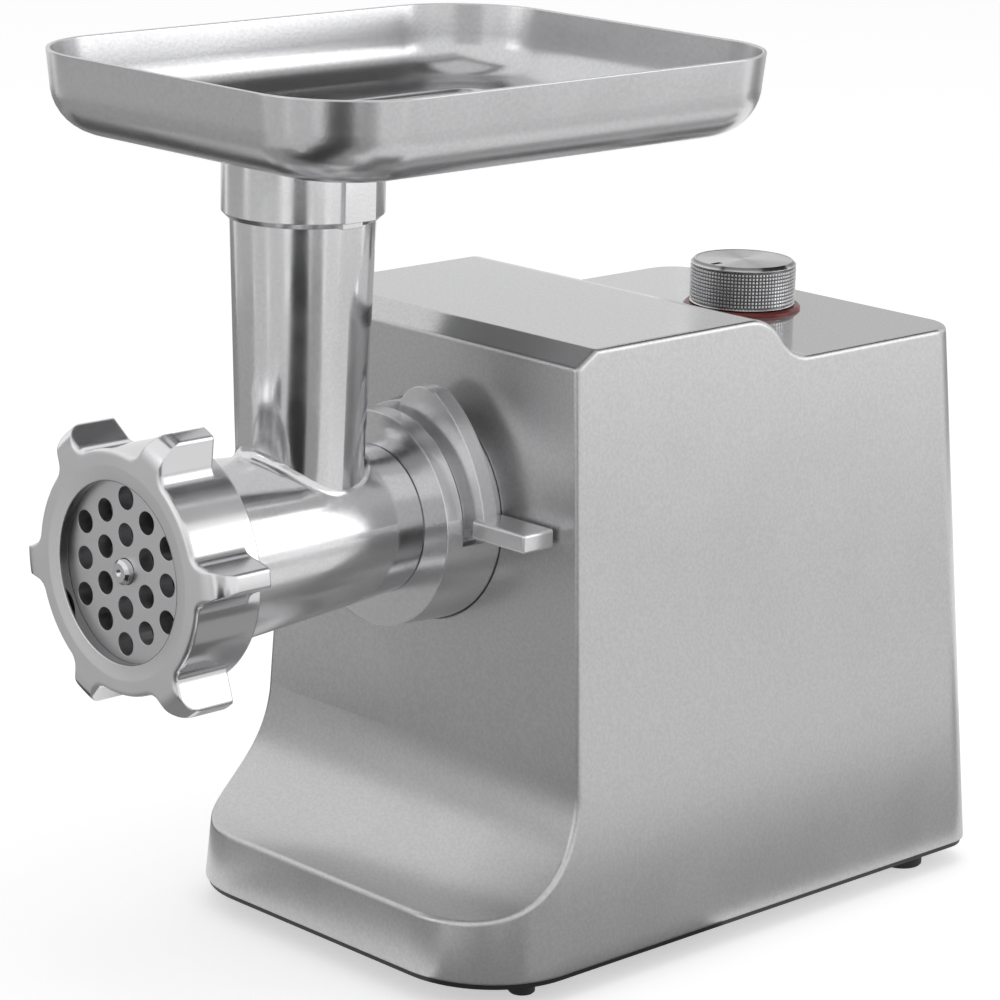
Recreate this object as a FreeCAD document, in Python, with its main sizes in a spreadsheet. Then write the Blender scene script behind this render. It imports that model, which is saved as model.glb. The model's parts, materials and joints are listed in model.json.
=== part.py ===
import FreeCAD, Part
import math
import os
import re

import Sketcher
from FreeCAD import Placement, Rotation, Vector

# Electric meat grinder: cast housing with motor and gear train, removable grinding head and tray.
# Frame in millimetres: +Z up, the head points to -Y, X = 0 is the plane of symmetry, Z = 0 is the table.

SIZES = {
    # Housing shell
    "foot_height": 7.0,
    "base_thickness": 2.0,
    "base_inset": 1.0,
    "shell_width": 160.0,
    "toe_y": -80.2,
    "rear_y": 164.0,
    "shell_rise": 63.4,
    "side_slope": 0.062,
    "wall": 3.0,
    "front_y": -38.0,
    "front_lean": 0.015,
    "toe_height": 20.1,
    "flare_radius": 39.0,
    "chamfer_depth": 8.8,
    "chamfer_height": 5.2,
    "step_top_y": 54.4,
    "step_bottom_y": 65.6,
    "rear_drop": 15.2,
    "step_radius": 17.5,
    "toe_corner": 35.0,
    "rear_corner": 14.0,
    "edge_round": 1.6,
    "cut_margin": 20.0,
    # Feet and screws
    "front_foot_radius": 4.4,
    "rear_foot_radius": 7.5,
    "foot_edge": 0.5,
    "foot_x": 65.0,
    "front_foot_y": -49.0,
    "rear_foot_y": 139.0,
    "screw_radius": 2.0,
    "screw_head_radius": 3.6,
    "screw_head_height": 1.6,
    "screw_clearance": 0.15,
    "base_screw_x": 64.0,
    "front_screw_y": -24.0,
    "rear_screw_y": 112.0,
    "boss_width": 10.0,
    "boss_height": 24.0,
    "vent_length": 40.0,
    "vent_width": 4.0,
    "vent_pitch": 9.0,
    "vent_y": 96.0,
    "vent_count": 5,
    # Drive axis, socket and locking lever
    "axis_height": 146.5,
    "socket_face_y": -58.5,
    "socket_front_radius": 35.5,
    "socket_rear_radius": 36.8,
    "socket_rear_y": -35.0,
    "spigot_radius": 30.0,
    "seat_clearance": 0.3,
    "slot_front_y": -52.0,
    "slot_rear_y": -42.5,
    "slot_radius": 32.5,
    "slot_span": 190.0,
    "lever_front_y": -49.0,
    "lever_rear_y": -43.0,
    "lever_cam_radius": 54.0,
    "lever_cam_x": -11.5,
    "lever_cam_z": -1.5,
    "lever_start": 3.0,
    "lever_span": 65.0,
    "lever_end_radius": 11.0,
    "lever_end_circle": 35.5,
    "lever_end_turn": 70.2,
    "handle_front_y": -50.5,
    "handle_rear_y": -37.2,
    "handle_reach": 62.0,
    "handle_root": 38.6,
    "handle_thickness": 6.2,
    "handle_lift": -0.3,
    "handle_round": 1.0,
    # Grinding head
    "plug_radius": 24.0,
    "plug_rear_y": -28.0,
    "barrel_rear_radius": 24.5,
    "barrel_front_radius": 30.1,
    "thread_rear_y": -139.3,
    "thread_radius": 34.9,
    "rim_y": -156.5,
    "bore_rear_radius": 20.6,
    "bore_front_radius": 27.3,
    "end_wall_y": -34.0,
    "feed_y": -90.0,
    "tube_low_radius": 19.7,
    "tube_top_radius": 23.0,
    "throat_radius": 18.5,
    "collar_height": 21.0,
    "collar_radius": 25.7,
    "collar_chamfer": 1.8,
    "rib_width": 12.5,
    "rib_reach": 27.0,
    "tab_width": 8.0,
    "tab_reach": 26.0,
    "tube_fillet": 3.0,
    "spout_radius": 22.0,
    "spout_wall": 2.0,
    "spout_depth": 12.0,
    "bush_wall": 2.0,
    "running_clearance": 0.06,
    # Auger, knife, plate and nut
    "neck_radius": 8.0,
    "auger_core_front": 9.0,
    "auger_core_rear": 12.0,
    "auger_pitch": 27.0,
    "flight_thickness": 4.5,
    "flight_clearance": 0.5,
    "flight_rear_y": -36.0,
    "flight_front_y": -146.5,
    "knife_square": 9.0,
    "nose_radius": 4.0,
    "nose_y": -162.8,
    "nose_centre": 1.2,
    "drive_flats": 12.0,
    "drive_clearance": 0.15,
    "drive_end_y": -13.0,
    "knife_front_y": -154.6,
    "knife_thickness": 7.0,
    "knife_reach": 25.8,
    "blade_width": 8.5,
    "knife_hub_radius": 9.5,
    "plate_face_y": -160.0,
    "plate_thickness": 5.0,
    "plate_radius": 31.0,
    "hole_radius": 3.7,
    "hole_count": 6,
    "hole_pitch": 11.6,
    "nut_front_y": -164.0,
    "nut_rear_y": -138.5,
    "nut_wall": 3.2,
    "nut_opening": 28.7,
    "nut_dish_radius": 33.6,
    "nut_dish_depth": 0.7,
    "nut_edge": 1.6,
    "thread_clearance": 0.5,
    "plate_clearance": 0.1,
    "lug_count": 6,
    "lug_height": 10.7,
    "lug_width": 5.8,
    "lug_root_width": 14.0,
    "lug_angle": 7.0,
    "lug_root_fillet": 5.0,
    "lug_tip_fillet": 1.5,
    "lug_rear_y": -143.5,
    "lug_front_fillet": 8.5,
    # Feed tray
    "tray_rise": 151.9,
    "tray_depth": 28.0,
    "tray_width": 158.4,
    "tray_front_y": -147.4,
    "tray_rear_y": 55.7,
    "tray_flare": 3.0,
    "tray_corner": 35.0,
    "tray_bottom_round": 17.0,
    "tray_wall": 1.5,
    # Knob, ring and switch
    "knob_y": 114.2,
    "knob_radius": 18.5,
    "knob_height": 15.1,
    "knob_chamfer": 1.3,
    "knob_gap": 0.4,
    "ring_radius": 20.5,
    "ring_height": 1.5,
    "switch_width": 28.0,
    "switch_depth": 20.0,
    "switch_bush_radius": 5.0,
    "spindle_radius": 3.0,
    "knob_cap": 5.7,
    # Power inlet in the rear face
    "inlet_z": 64.0,
    "inlet_width": 27.0,
    "inlet_height": 20.0,
    "inlet_depth": 16.0,
    "inlet_flange_width": 48.0,
    "inlet_flange_height": 28.0,
    "inlet_flange_thickness": 2.4,
    "inlet_rim": 3.0,
    "inlet_pocket": 12.0,
    "inlet_pin_radius": 1.0,
    "inlet_pin_pitch": 5.4,
    "inlet_screw_x": 19.5,
    "inlet_screw_length": 8.0,
    # Gear train
    "pinion_teeth": 12,
    "fast_teeth": 48,
    "mid_teeth": 42,
    "slow_teeth": 42,
    "fast_module": 1.0,
    "mid_module": 1.25,
    "slow_module": 1.75,
    "pressure_angle": 25.0,
    "addendum": 0.8,
    "dedendum": 1.05,
    "backlash": 0.3,
    "second_gear_lean": 16.0,
    "slow_plane_y": -20.0,
    "slow_width": 10.0,
    "mid_plane_y": -8.5,
    "mid_width": 8.0,
    "fast_plane_y": 1.5,
    "fast_width": 7.5,
    "pin_radius": 4.0,
    "output_radius": 11.0,
    "output_tail_radius": 8.0,
    "output_front_y": -27.0,
    "drive_gap": 1.0,
    "case_wall": 3.0,
    "case_front_y": -22.0,
    "case_rear_y": 14.0,
    "case_drop": 16.0,
    "cover_thickness": 4.0,
    "gear_clearance": 3.0,
    "case_boss_radius": 5.0,
    "socket_screw_count": 4,
    "socket_screw_turn": 45.0,
    "socket_screw_circle": 27.2,
    "socket_screw_length": 8.0,
    # Motor
    "motor_height": 64.0,
    "shaft_radius": 4.0,
    "shaft_rear_y": 133.0,
    "bracket_radius": 36.0,
    "bracket_thickness": 7.0,
    "bearing_radius": 9.5,
    "stator_front_y": 40.0,
    "stator_length": 45.0,
    "stator_width": 82.0,
    "stator_height": 76.0,
    "stator_corner": 14.0,
    "stator_bore": 24.0,
    "air_gap": 0.6,
    "core_slots": 12,
    "core_slot_width": 3.0,
    "core_slot_depth": 5.0,
    "winding_radius": 20.0,
    "winding_length": 7.0,
    "coil_inner_radius": 25.0,
    "coil_outer_radius": 35.0,
    "coil_length": 9.0,
    "coil_span": 150.0,
    "commutator_radius": 12.5,
    "commutator_length": 16.0,
    "rear_bracket_y": 112.0,
    "rear_bracket_radius": 36.0,
    "post_radius": 4.5,
    "post_spread": 26.0,
    "bolt_radius": 2.0,
    "bolt_head_radius": 3.6,
    "brush_width": 6.0,
    "brush_length": 14.0,
    "brush_gap": 0.3,
    "holder_wall": 1.5,
    "fan_y": 121.5,
    "fan_radius": 28.0,
    "fan_hub_radius": 9.0,
    "fan_thickness": 2.0,
    "fan_blade_depth": 7.0,
    "fan_blade_thickness": 1.6,
    "fan_blades": 10,
    "pedestal_width": 12.0,
    "pedestal_length": 12.0,
    "pedestal_x": 24.0,
}

# Heights and radii that follow from the sizes
DERIVED = {
    "shell_height": "=axis_height + shell_rise - foot_height - base_thickness",
    "tray_rim_z": "=axis_height + tray_rise",
    "collar_z": "=tray_rim_z - tray_depth - collar_height",
    "knob_top_z": "=axis_height + shell_rise - rear_drop + ring_height + knob_gap + knob_height",
    "spindle_top_z": "=knob_top_z - knob_cap",
    "nut_radius": "=thread_radius + thread_clearance + nut_wall",
    "lug_reach": "=nut_radius + lug_height",
}

TURN = {"x": Rotation(Vector(0, 1, 0), 90), "y": Rotation(Vector(1, 0, 0), -90), "z": Rotation()}
SHELL_BOTTOM = "(foot_height + base_thickness)"
SHELL_TOP = "(foot_height + base_thickness + shell_height)"
REAR_TOP = "(foot_height + base_thickness + shell_height - rear_drop)"
COLLAR_TOP = "(tray_rim_z - tray_depth)"
INLET_Y = f"rear_y - side_slope * (inlet_z - {SHELL_BOTTOM})"

doc = FreeCAD.newDocument("meat_grinder")
sheet = doc.addObject("Spreadsheet::Sheet", "Sizes")
aliases = []
nodes = []


# Document helpers

def add_sizes(sizes):
    """Write named values or formulas to the sheet, one row each."""
    for name, value in sizes.items():
        aliases.append(name)
        row = len(aliases)
        sheet.set(f"A{row}", name)
        sheet.set(f"B{row}", str(value))
        sheet.setAlias(f"B{row}", name)
    doc.recompute()


def size(name):
    """A named value as the sheet holds it."""
    return float(sheet.get(name))


def formula(text):
    """The same formula with each size's name pointing at its cell."""
    return re.sub(r"[a-z_]\w*", lambda word: f"Sizes.{word[0]}" if word[0] in aliases else word[0], text)


def bind(item, **formulas):
    """Bind properties of an object to formulas of the sizes."""
    for name, text in formulas.items():
        item.setExpression(name, formula(text))
    return item


def place(item, x="0", y="0", z="0", rotation=None):
    """Place an object at formulas of the sizes."""
    item.Placement = Placement(Vector(), rotation or Rotation())
    for axis, text in zip("xyz", (x, y, z)):
        item.setExpression(f"Placement.Base.{axis}", formula(text))
    return item


def node(item, label):
    """Register an object as a sub-part under its own label."""
    item.Label = label
    nodes.append(item)
    return item


# Part primitives and booleans

def rod(name, radius, length, x="0", y="0", z="0", along="z"):
    """Cylinder from a point along an axis."""
    item = bind(doc.addObject("Part::Cylinder", name), Radius=radius, Height=length)
    return place(item, x, y, z, TURN[along])


def block(name, lengths, corner):
    """Box with its lengths and its lowest corner."""
    item = doc.addObject("Part::Box", name)
    bind(item, Length=lengths[0], Width=lengths[1], Height=lengths[2])
    return place(item, *corner)


def fuse(name, *items):
    """One solid of several that overlap."""
    item = doc.addObject("Part::MultiFuse", name)
    item.Shapes = list(items)
    return item


def cut(name, base, *tools):
    """A base without its tools."""
    item = doc.addObject("Part::Cut", name)
    item.Base = base
    item.Tool = tools[0] if len(tools) == 1 else fuse(name + "_tools", *tools)
    return item


def common(name, first, second):
    """What two solids share."""
    item = doc.addObject("Part::Common", name)
    item.Base = first
    item.Tool = second
    return item


def group(name, *items):
    """Separate solids kept in one node."""
    item = doc.addObject("Part::Compound", name)
    item.Links = list(items)
    return item


def screw(name, length, x, y, z, along, sign=1):
    """Screw with its head's seat at a point; sign tells which way its shank points."""
    start = {"x": x, "y": y, "z": z}
    shank_at = dict(start)
    head_at = dict(start)
    if sign > 0:
        head_at[along] = f"{start[along]} - screw_head_height"
    else:
        shank_at[along] = f"{start[along]} - ({length})"
    shank = rod(name + "_shank", "screw_radius", length, along=along, **shank_at)
    head = rod(name + "_head", "screw_head_radius", "screw_head_height", along=along, **head_at)
    return fuse(name, shank, head)


# PartDesign bodies

def new_body(name, x="0", y="0", z="0", rotation=None):
    """Body at a place of its own."""
    return place(doc.addObject("PartDesign::Body", name), x, y, z, rotation)


def new_sketch(body, name, role, offset="0"):
    """Sketch on one of the body's origin planes, moved along the plane's normal."""
    plane = next(item for item in body.Origin.OriginFeatures if item.Role == role)
    sketch = body.newObject("Sketcher::SketchObject", name)
    sketch.AttachmentSupport = (plane, [""])
    sketch.MapMode = "FlatFace"
    sketch.setExpression("AttachmentOffset.Base.z", formula(offset))
    return sketch


def draw_outline(sketch, points):
    """Closed outline of straight lines whose corners are formulas of the sizes."""
    count = len(points)
    turns = [2 * math.pi * index / count for index in range(count)]
    starts = [Vector(math.cos(turn), math.sin(turn), 0) for turn in turns]
    first = sketch.GeometryCount
    for index in range(count):
        sketch.addGeometry(Part.LineSegment(starts[index], starts[(index + 1) % count]), False)
    for index in range(count):
        following = first + (index + 1) % count
        sketch.addConstraint(Sketcher.Constraint("Coincident", first + index, 2, following, 1))
    for index, (across, up) in enumerate(points):
        for kind, text, value in (("DistanceX", across, starts[index].x),
                                  ("DistanceY", up, starts[index].y)):
            number = sketch.addConstraint(Sketcher.Constraint(kind, -1, 1, first + index, 1, value))
            sketch.setExpression(f"Constraints[{number}]", formula(text))


def draw_circle(sketch, across, up, radius):
    """Circle whose centre and radius are formulas of the sizes."""
    index = sketch.addGeometry(Part.Circle(Vector(1, 1, 0), Vector(0, 0, 1), 1), False)
    for kind, text in (("DistanceX", across), ("DistanceY", up)):
        number = sketch.addConstraint(Sketcher.Constraint(kind, -1, 1, index, 3, 1))
        sketch.setExpression(f"Constraints[{number}]", formula(text))
    number = sketch.addConstraint(Sketcher.Constraint("Radius", index, 1))
    sketch.setExpression(f"Constraints[{number}]", formula(radius))


def revolve(body, name, points, along="y", kind="PartDesign::Revolution", angle="360"):
    """Turn an outline of (along, radius) points round the body's Y or Z axis."""
    if along == "y":
        sketch = new_sketch(body, name + "_outline", "YZ_Plane")
        draw_outline(sketch, points)
    else:
        sketch = new_sketch(body, name + "_outline", "XZ_Plane")
        draw_outline(sketch, [(radius, up) for up, radius in points])
    feature = body.newObject(kind, name)
    feature.Profile = sketch
    feature.ReferenceAxis = (sketch, ["H_Axis" if along == "y" else "V_Axis"])
    feature.Midplane = True
    return bind(feature, Angle=angle)


def turned(label, points, along="y", x="0", y="0", z="axis_height"):
    """Sub-part made by turning one outline."""
    body = new_body(label + "_body", x, y, z)
    revolve(body, label + "_turn", points, along)
    return node(body, label)


def extrude(body, name, sketch, length, kind="PartDesign::Pad"):
    """Pad or pocket a sketch by the same length to both sides."""
    feature = body.newObject(kind, name)
    feature.Profile = sketch
    feature.Midplane = True
    return bind(feature, Length=length)


def edge_names(shape, test):
    """Names of the edges that pass a test."""
    return [f"Edge{index}" for index, edge in enumerate(shape.Edges, start=1) if test(edge)]


def round_edges(body, name, radius, test, kind="PartDesign::Fillet"):
    """Fillet or chamfer the edges of the body's last feature that pass a test."""
    doc.recompute()
    base = body.Tip
    feature = body.newObject(kind, name)
    feature.Base = (base, edge_names(base.Shape, test))
    return bind(feature, **{"Radius" if kind == "PartDesign::Fillet" else "Size": radius})


def spread(body, name, features, count, axis_role):
    """Repeat features evenly round one of the body's origin axes."""
    axis = next(item for item in body.Origin.OriginFeatures if item.Role == axis_role)
    pattern = body.newObject("PartDesign::PolarPattern", name)
    pattern.Originals = features
    pattern.Axis = (axis, [""])
    pattern.Angle = 360
    body.Tip = pattern
    return bind(pattern, Occurrences=count)


def is_sharp(shape, edge):
    """Whether the two faces at an edge meet at an angle."""
    middle = edge.valueAt((edge.FirstParameter + edge.LastParameter) / 2)
    faces = shape.ancestorsOfType(edge, Part.Face)
    normals = [face.normalAt(*face.Surface.parameter(middle)) for face in faces]
    return len(normals) == 2 and normals[0].getAngle(normals[1]) > 0.3


def soften(name, base, radius, test):
    """Round the sharp edges of a solid that pass a test."""
    doc.recompute()
    item = doc.addObject("Part::Fillet", name)
    item.Base = base
    chosen = [index for index, edge in enumerate(base.Shape.Edges, start=1)
              if test(edge) and is_sharp(base.Shape, edge)]
    item.Edges = [(index, size(radius), size(radius)) for index in chosen]
    return item


def runs_along(edge, axis):
    """Whether an edge is straight and parallel to an axis."""
    if not isinstance(edge.Curve, Part.Line):
        return False
    return abs(edge.Curve.Direction.dot(axis)) > 0.99


def code_made(label, shape, placement):
    """Sub-part whose shape is worked out here because it follows a curve of its own."""
    item = doc.addObject("Part::Feature", label + "_solid")
    item.Shape = shape
    item.Placement = placement
    return node(item, label)


# Housing

def hull(name, inset):
    """Tapered block with foot, flare and stepped top, drawn in by an inset."""
    front = "front_y + front_lean * {}"
    toe_top = f"{SHELL_BOTTOM} + toe_height - {inset}"
    chamfer_z = f"(shell_height - chamfer_height - {inset} / 2)"
    front_top = f"{front.format(chamfer_z)} + {inset}"
    prism = new_body(name + "_side_body")
    sketch = new_sketch(prism, name + "_side", "YZ_Plane")
    draw_outline(sketch, [
        ("toe_y - cut_margin", f"{SHELL_BOTTOM} - cut_margin"),
        ("toe_y - cut_margin", toe_top),
        (f"{front.format('toe_height')} + {inset}", toe_top),
        (front_top, f"{SHELL_BOTTOM} + {chamfer_z}"),
        (f"{front_top} + chamfer_depth - {inset} / 2", f"{SHELL_TOP} - {inset}"),
        (f"step_top_y - {inset} / 2", f"{SHELL_TOP} - {inset}"),
        (f"step_bottom_y - {inset} / 2", f"{REAR_TOP} - {inset}"),
        ("rear_y + cut_margin", f"{REAR_TOP} - {inset}"),
        ("rear_y + cut_margin", f"{SHELL_BOTTOM} - cut_margin"),
    ])
    extrude(prism, name + "_side_pad", sketch, "shell_width + cut_margin")
    toe_level = size("foot_height") + size("base_thickness") + size("toe_height")
    wall = size("wall")

    def at_flare(edge):
        centre = edge.CenterOfMass
        near = abs(centre.y - size("front_y")) < 2 * wall and abs(centre.z - toe_level) < 2 * wall
        return near and runs_along(edge, Vector(1, 0, 0))

    def at_step(edge):
        centre = edge.CenterOfMass
        between = size("step_top_y") - wall <= centre.y <= size("step_bottom_y") + wall
        return between and centre.z > toe_level and runs_along(edge, Vector(1, 0, 0))

    round_edges(prism, name + "_flare", f"flare_radius + {inset}", at_flare)
    round_edges(prism, name + "_step", "step_radius", at_step)

    plan = new_body(name + "_plan_body")
    wedge = plan.newObject("PartDesign::AdditiveWedge", name + "_plan")
    place(wedge, z=SHELL_BOTTOM, rotation=Rotation(Vector(1, 0, 0), 90))
    draw_in = f"{inset} + side_slope * shell_height"
    bind(wedge, Ymin="0", Ymax="shell_height",
         Xmin=f"{inset} - shell_width / 2", Xmax=f"shell_width / 2 - {inset}",
         Zmin=f"{inset} - rear_y", Zmax=f"-toe_y - {inset}",
         X2min=f"{draw_in} - shell_width / 2", X2max=f"shell_width / 2 - ({draw_in})",
         Z2min=f"{draw_in} - rear_y", Z2max=f"-toe_y - ({draw_in})")
    for end, radius, front_end in (("toe", "toe_corner", True), ("rear", "rear_corner", False)):
        round_edges(plan, f"{name}_{end}_corner", f"{radius} - {inset}",
                    lambda edge: edge.BoundBox.ZLength > size("shell_height") / 2
                    and isinstance(edge.Curve, Part.Line) and (edge.CenterOfMass.y < 0) == front_end)
    return common(name, prism, plan)


def rear_lean():
    """Turn that lays a piece on the leaning rear face."""
    return Rotation(Vector(1, 0, 0), math.degrees(math.atan(size("side_slope"))))


def make_housing():
    """Shell, base plate, feet and the screws between them."""
    bottom = size("foot_height") + size("base_thickness")
    outer = soften("shell_soft", hull("shell_outer", "0"), "edge_round",
                   lambda edge: edge.CenterOfMass.z > bottom + size("edge_round"))
    shell = cut("shell_hollow", outer, hull("shell_inner", "wall"))
    bosses = []
    holes = []
    base_holes = []
    screws = []
    for index, (side, y) in enumerate([(-1, "front_screw_y"), (1, "front_screw_y"),
                                       (-1, "rear_screw_y"), (1, "rear_screw_y")]):
        inner_x = "base_screw_x - boss_width / 2"
        reach = "shell_width / 2 - wall / 2 - side_slope * boss_height"
        corner_x = inner_x if side > 0 else f"-({reach})"
        bosses.append(block(f"shell_boss_{index}", (f"{reach} - ({inner_x})", "boss_width", "boss_height"),
                            (corner_x, f"{y} - boss_width / 2", SHELL_BOTTOM)))
        x = f"{side} * base_screw_x"
        hole = "screw_radius + screw_clearance"
        holes.append(rod(f"boss_hole_{index}", hole, "boss_height - wall", x, y, SHELL_BOTTOM))
        base_holes.append(rod(f"base_hole_{index}", hole, "2 * base_thickness", x, y,
                              "foot_height - base_thickness / 2"))
        screws.append(screw(f"base_screw_{index}", "base_thickness + boss_height - 2 * wall", x, y,
                            "foot_height", "z"))
    node(group("base_screw_group", *screws), "base_screws")
    socket_hole = rod("socket_hole", "spigot_radius + seat_clearance", "2 * cut_margin",
                      "0", "front_y - cut_margin", "axis_height", "y")
    socket_recess = rod("socket_recess", "socket_rear_radius + seat_clearance", "cut_margin",
                        "0", "socket_rear_y - cut_margin", "axis_height", "y")
    switch_hole = rod("switch_hole", "switch_bush_radius + seat_clearance", "2 * cut_margin",
                      "0", "knob_y", f"{REAR_TOP} - cut_margin")
    inlet_hole = block("inlet_hole", ("inlet_width + 2 * seat_clearance", "2 * cut_margin",
                                      "inlet_height + 2 * seat_clearance"),
                       ("-inlet_width / 2 - seat_clearance", "-cut_margin",
                        "-inlet_height / 2 - seat_clearance"))
    inlet_screw_holes = [rod(f"inlet_screw_hole_{side}", "screw_radius + screw_clearance", "2 * cut_margin",
                             f"{side} * inlet_screw_x", "-cut_margin", "0", "y") for side in (-1, 1)]
    inlet_cut = place(group("inlet_cut", inlet_hole, *inlet_screw_holes), y=INLET_Y, z="inlet_z",
                      rotation=rear_lean())
    whole = fuse("shell_with_bosses", shell, *bosses)
    node(cut("shell", whole, socket_hole, socket_recess, switch_hole, inlet_cut, *holes), "housing_shell")

    plate = new_body("base_plate_body", z="foot_height")
    sketch = new_sketch(plate, "base_outline", "XY_Plane", "base_thickness / 2")
    half = "shell_width / 2 - base_inset"
    draw_outline(sketch, [(f"-({half})", "toe_y + base_inset"), (half, "toe_y + base_inset"),
                          (half, "rear_y - base_inset"), (f"-({half})", "rear_y - base_inset")])
    extrude(plate, "base_pad", sketch, "base_thickness")
    for end, radius, front_end in (("toe", "toe_corner", True), ("rear", "rear_corner", False)):
        round_edges(plate, f"base_{end}_corner", f"{radius} - base_inset",
                    lambda edge: runs_along(edge, Vector(0, 0, 1))
                    and (edge.CenterOfMass.y < 0) == front_end)
    vents = [block(f"vent_{index}", ("vent_length", "vent_width", "2 * cut_margin"),
                   ("-vent_length / 2", f"vent_y + {index} * vent_pitch", "foot_height - cut_margin"))
             for index in range(int(size("vent_count")))]
    stator_bottom = "motor_height - stator_height / 2"
    stator_y = ("stator_front_y", "stator_front_y + stator_length - pedestal_length")
    pedestals = [block(f"stator_pedestal_{side}_{row}",
                       ("pedestal_width", "pedestal_length", f"{stator_bottom} - foot_height"),
                       (f"{side} * pedestal_x - pedestal_width / 2", y, "foot_height"))
                 for side in (-1, 1) for row, y in enumerate(stator_y)]
    pedestals.append(block("case_pedestal", ("2 * pedestal_x", "pedestal_length",
                                             "motor_height - case_drop - foot_height"),
                           ("-pedestal_x", "case_rear_y - 2 * pedestal_length", "foot_height")))
    node(cut("base", fuse("base_with_pedestals", plate, *pedestals), *vents, *base_holes), "base_plate")

    for end, radius, y in (("front", "front_foot_radius", "front_foot_y"),
                           ("rear", "rear_foot_radius", "rear_foot_y")):
        feet = []
        for side in (-1, 1):
            body = new_body(f"{end}_foot_body_{side}", f"{side} * foot_x", y)
            revolve(body, f"{end}_foot_turn_{side}", [
                ("0", "0"), ("0", f"{radius} - foot_edge"), ("foot_edge", radius),
                ("foot_height - foot_edge", radius), ("foot_height", f"{radius} - foot_edge"),
                ("foot_height", "0"),
            ], "z")
            feet.append(body)
        node(group(f"{end}_foot_pair", *feet), f"{end}_feet")


# Socket and locking lever

def socket_screw_places():
    """Where the screws between socket and gearbox cover stand, across and up."""
    count = int(size("socket_screw_count"))
    angles = [f"(socket_screw_turn + {360 * index / count})" for index in range(count)]
    return [(f"socket_screw_circle * cos({angle})", f"axis_height + socket_screw_circle * sin({angle})")
            for angle in angles]


def make_socket():
    """Round socket on the front, its screws and the lever in its slot."""
    body = new_body("socket_body", z="axis_height")
    bore = "plug_radius + seat_clearance"
    revolve(body, "socket_turn", [
        ("socket_face_y", bore), ("socket_face_y", "socket_front_radius"),
        ("socket_rear_y", "socket_rear_radius"), ("socket_rear_y", "spigot_radius"),
        ("case_front_y - cover_thickness", "spigot_radius"), ("case_front_y - cover_thickness", bore),
    ])
    revolve(body, "lever_slot", [
        ("slot_front_y", "slot_radius"), ("slot_front_y", "socket_rear_radius + cut_margin"),
        ("slot_rear_y", "socket_rear_radius + cut_margin"), ("slot_rear_y", "slot_radius"),
    ], kind="PartDesign::Groove", angle="slot_span")
    screws = []
    holes = []
    head_y = "case_front_y - screw_head_height"
    for index, (x, z) in enumerate(socket_screw_places()):
        screws.append(screw(f"socket_screw_{index}", "socket_screw_length", x, head_y, z, "y", -1))
        holes.append(rod(f"socket_screw_hole_{index}", "screw_radius + screw_clearance",
                         "2 * socket_screw_length", x,
                         f"{head_y} - socket_screw_length - screw_clearance", z, "y"))
    node(group("socket_screw_group", *screws), "socket_screws")
    node(cut("socket", body, *holes), "head_socket")

    thickness = "lever_rear_y - lever_front_y"
    cam = rod("lever_cam", "lever_cam_radius", thickness, "lever_cam_x", "lever_front_y",
              "axis_height + lever_cam_z", "y")
    sector = bind(doc.addObject("Part::Cylinder", "lever_sector"), Radius="2 * lever_cam_radius",
                  Height=thickness)
    start = Rotation(Vector(0, -1, 0), size("lever_start"))
    place(sector, y="lever_rear_y", z="axis_height", rotation=start.multiply(Rotation(Vector(1, 0, 0), 90)))
    bind(sector, Angle="lever_span")
    end = rod("lever_end", "lever_end_radius", thickness, "lever_end_circle * cos(lever_end_turn)",
              "lever_front_y", "axis_height + lever_end_circle * sin(lever_end_turn)", "y")
    grip = new_body("lever_handle_body", z="axis_height + handle_lift")
    sketch = new_sketch(grip, "handle_outline", "XY_Plane", "handle_thickness / 2")
    draw_outline(sketch, [("handle_root", "handle_front_y"), ("handle_reach", "handle_front_y"),
                          ("handle_reach", "handle_rear_y"), ("handle_root", "handle_rear_y")])
    extrude(grip, "handle_pad", sketch, "handle_thickness")
    outer_x = size("handle_root") + size("handle_round")
    round_edges(grip, "handle_edges", "handle_round", lambda edge: edge.BoundBox.XMax > outer_x)
    arm = cut("lever_arm", fuse("lever_blank", common("lever_blade", cam, sector), end),
              rod("lever_bore", "slot_radius + seat_clearance", "2 * cut_margin", "0",
                  "lever_front_y - cut_margin", "axis_height", "y"))
    node(fuse("lever", arm, grip), "lock_lever")


# Grinding head

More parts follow.
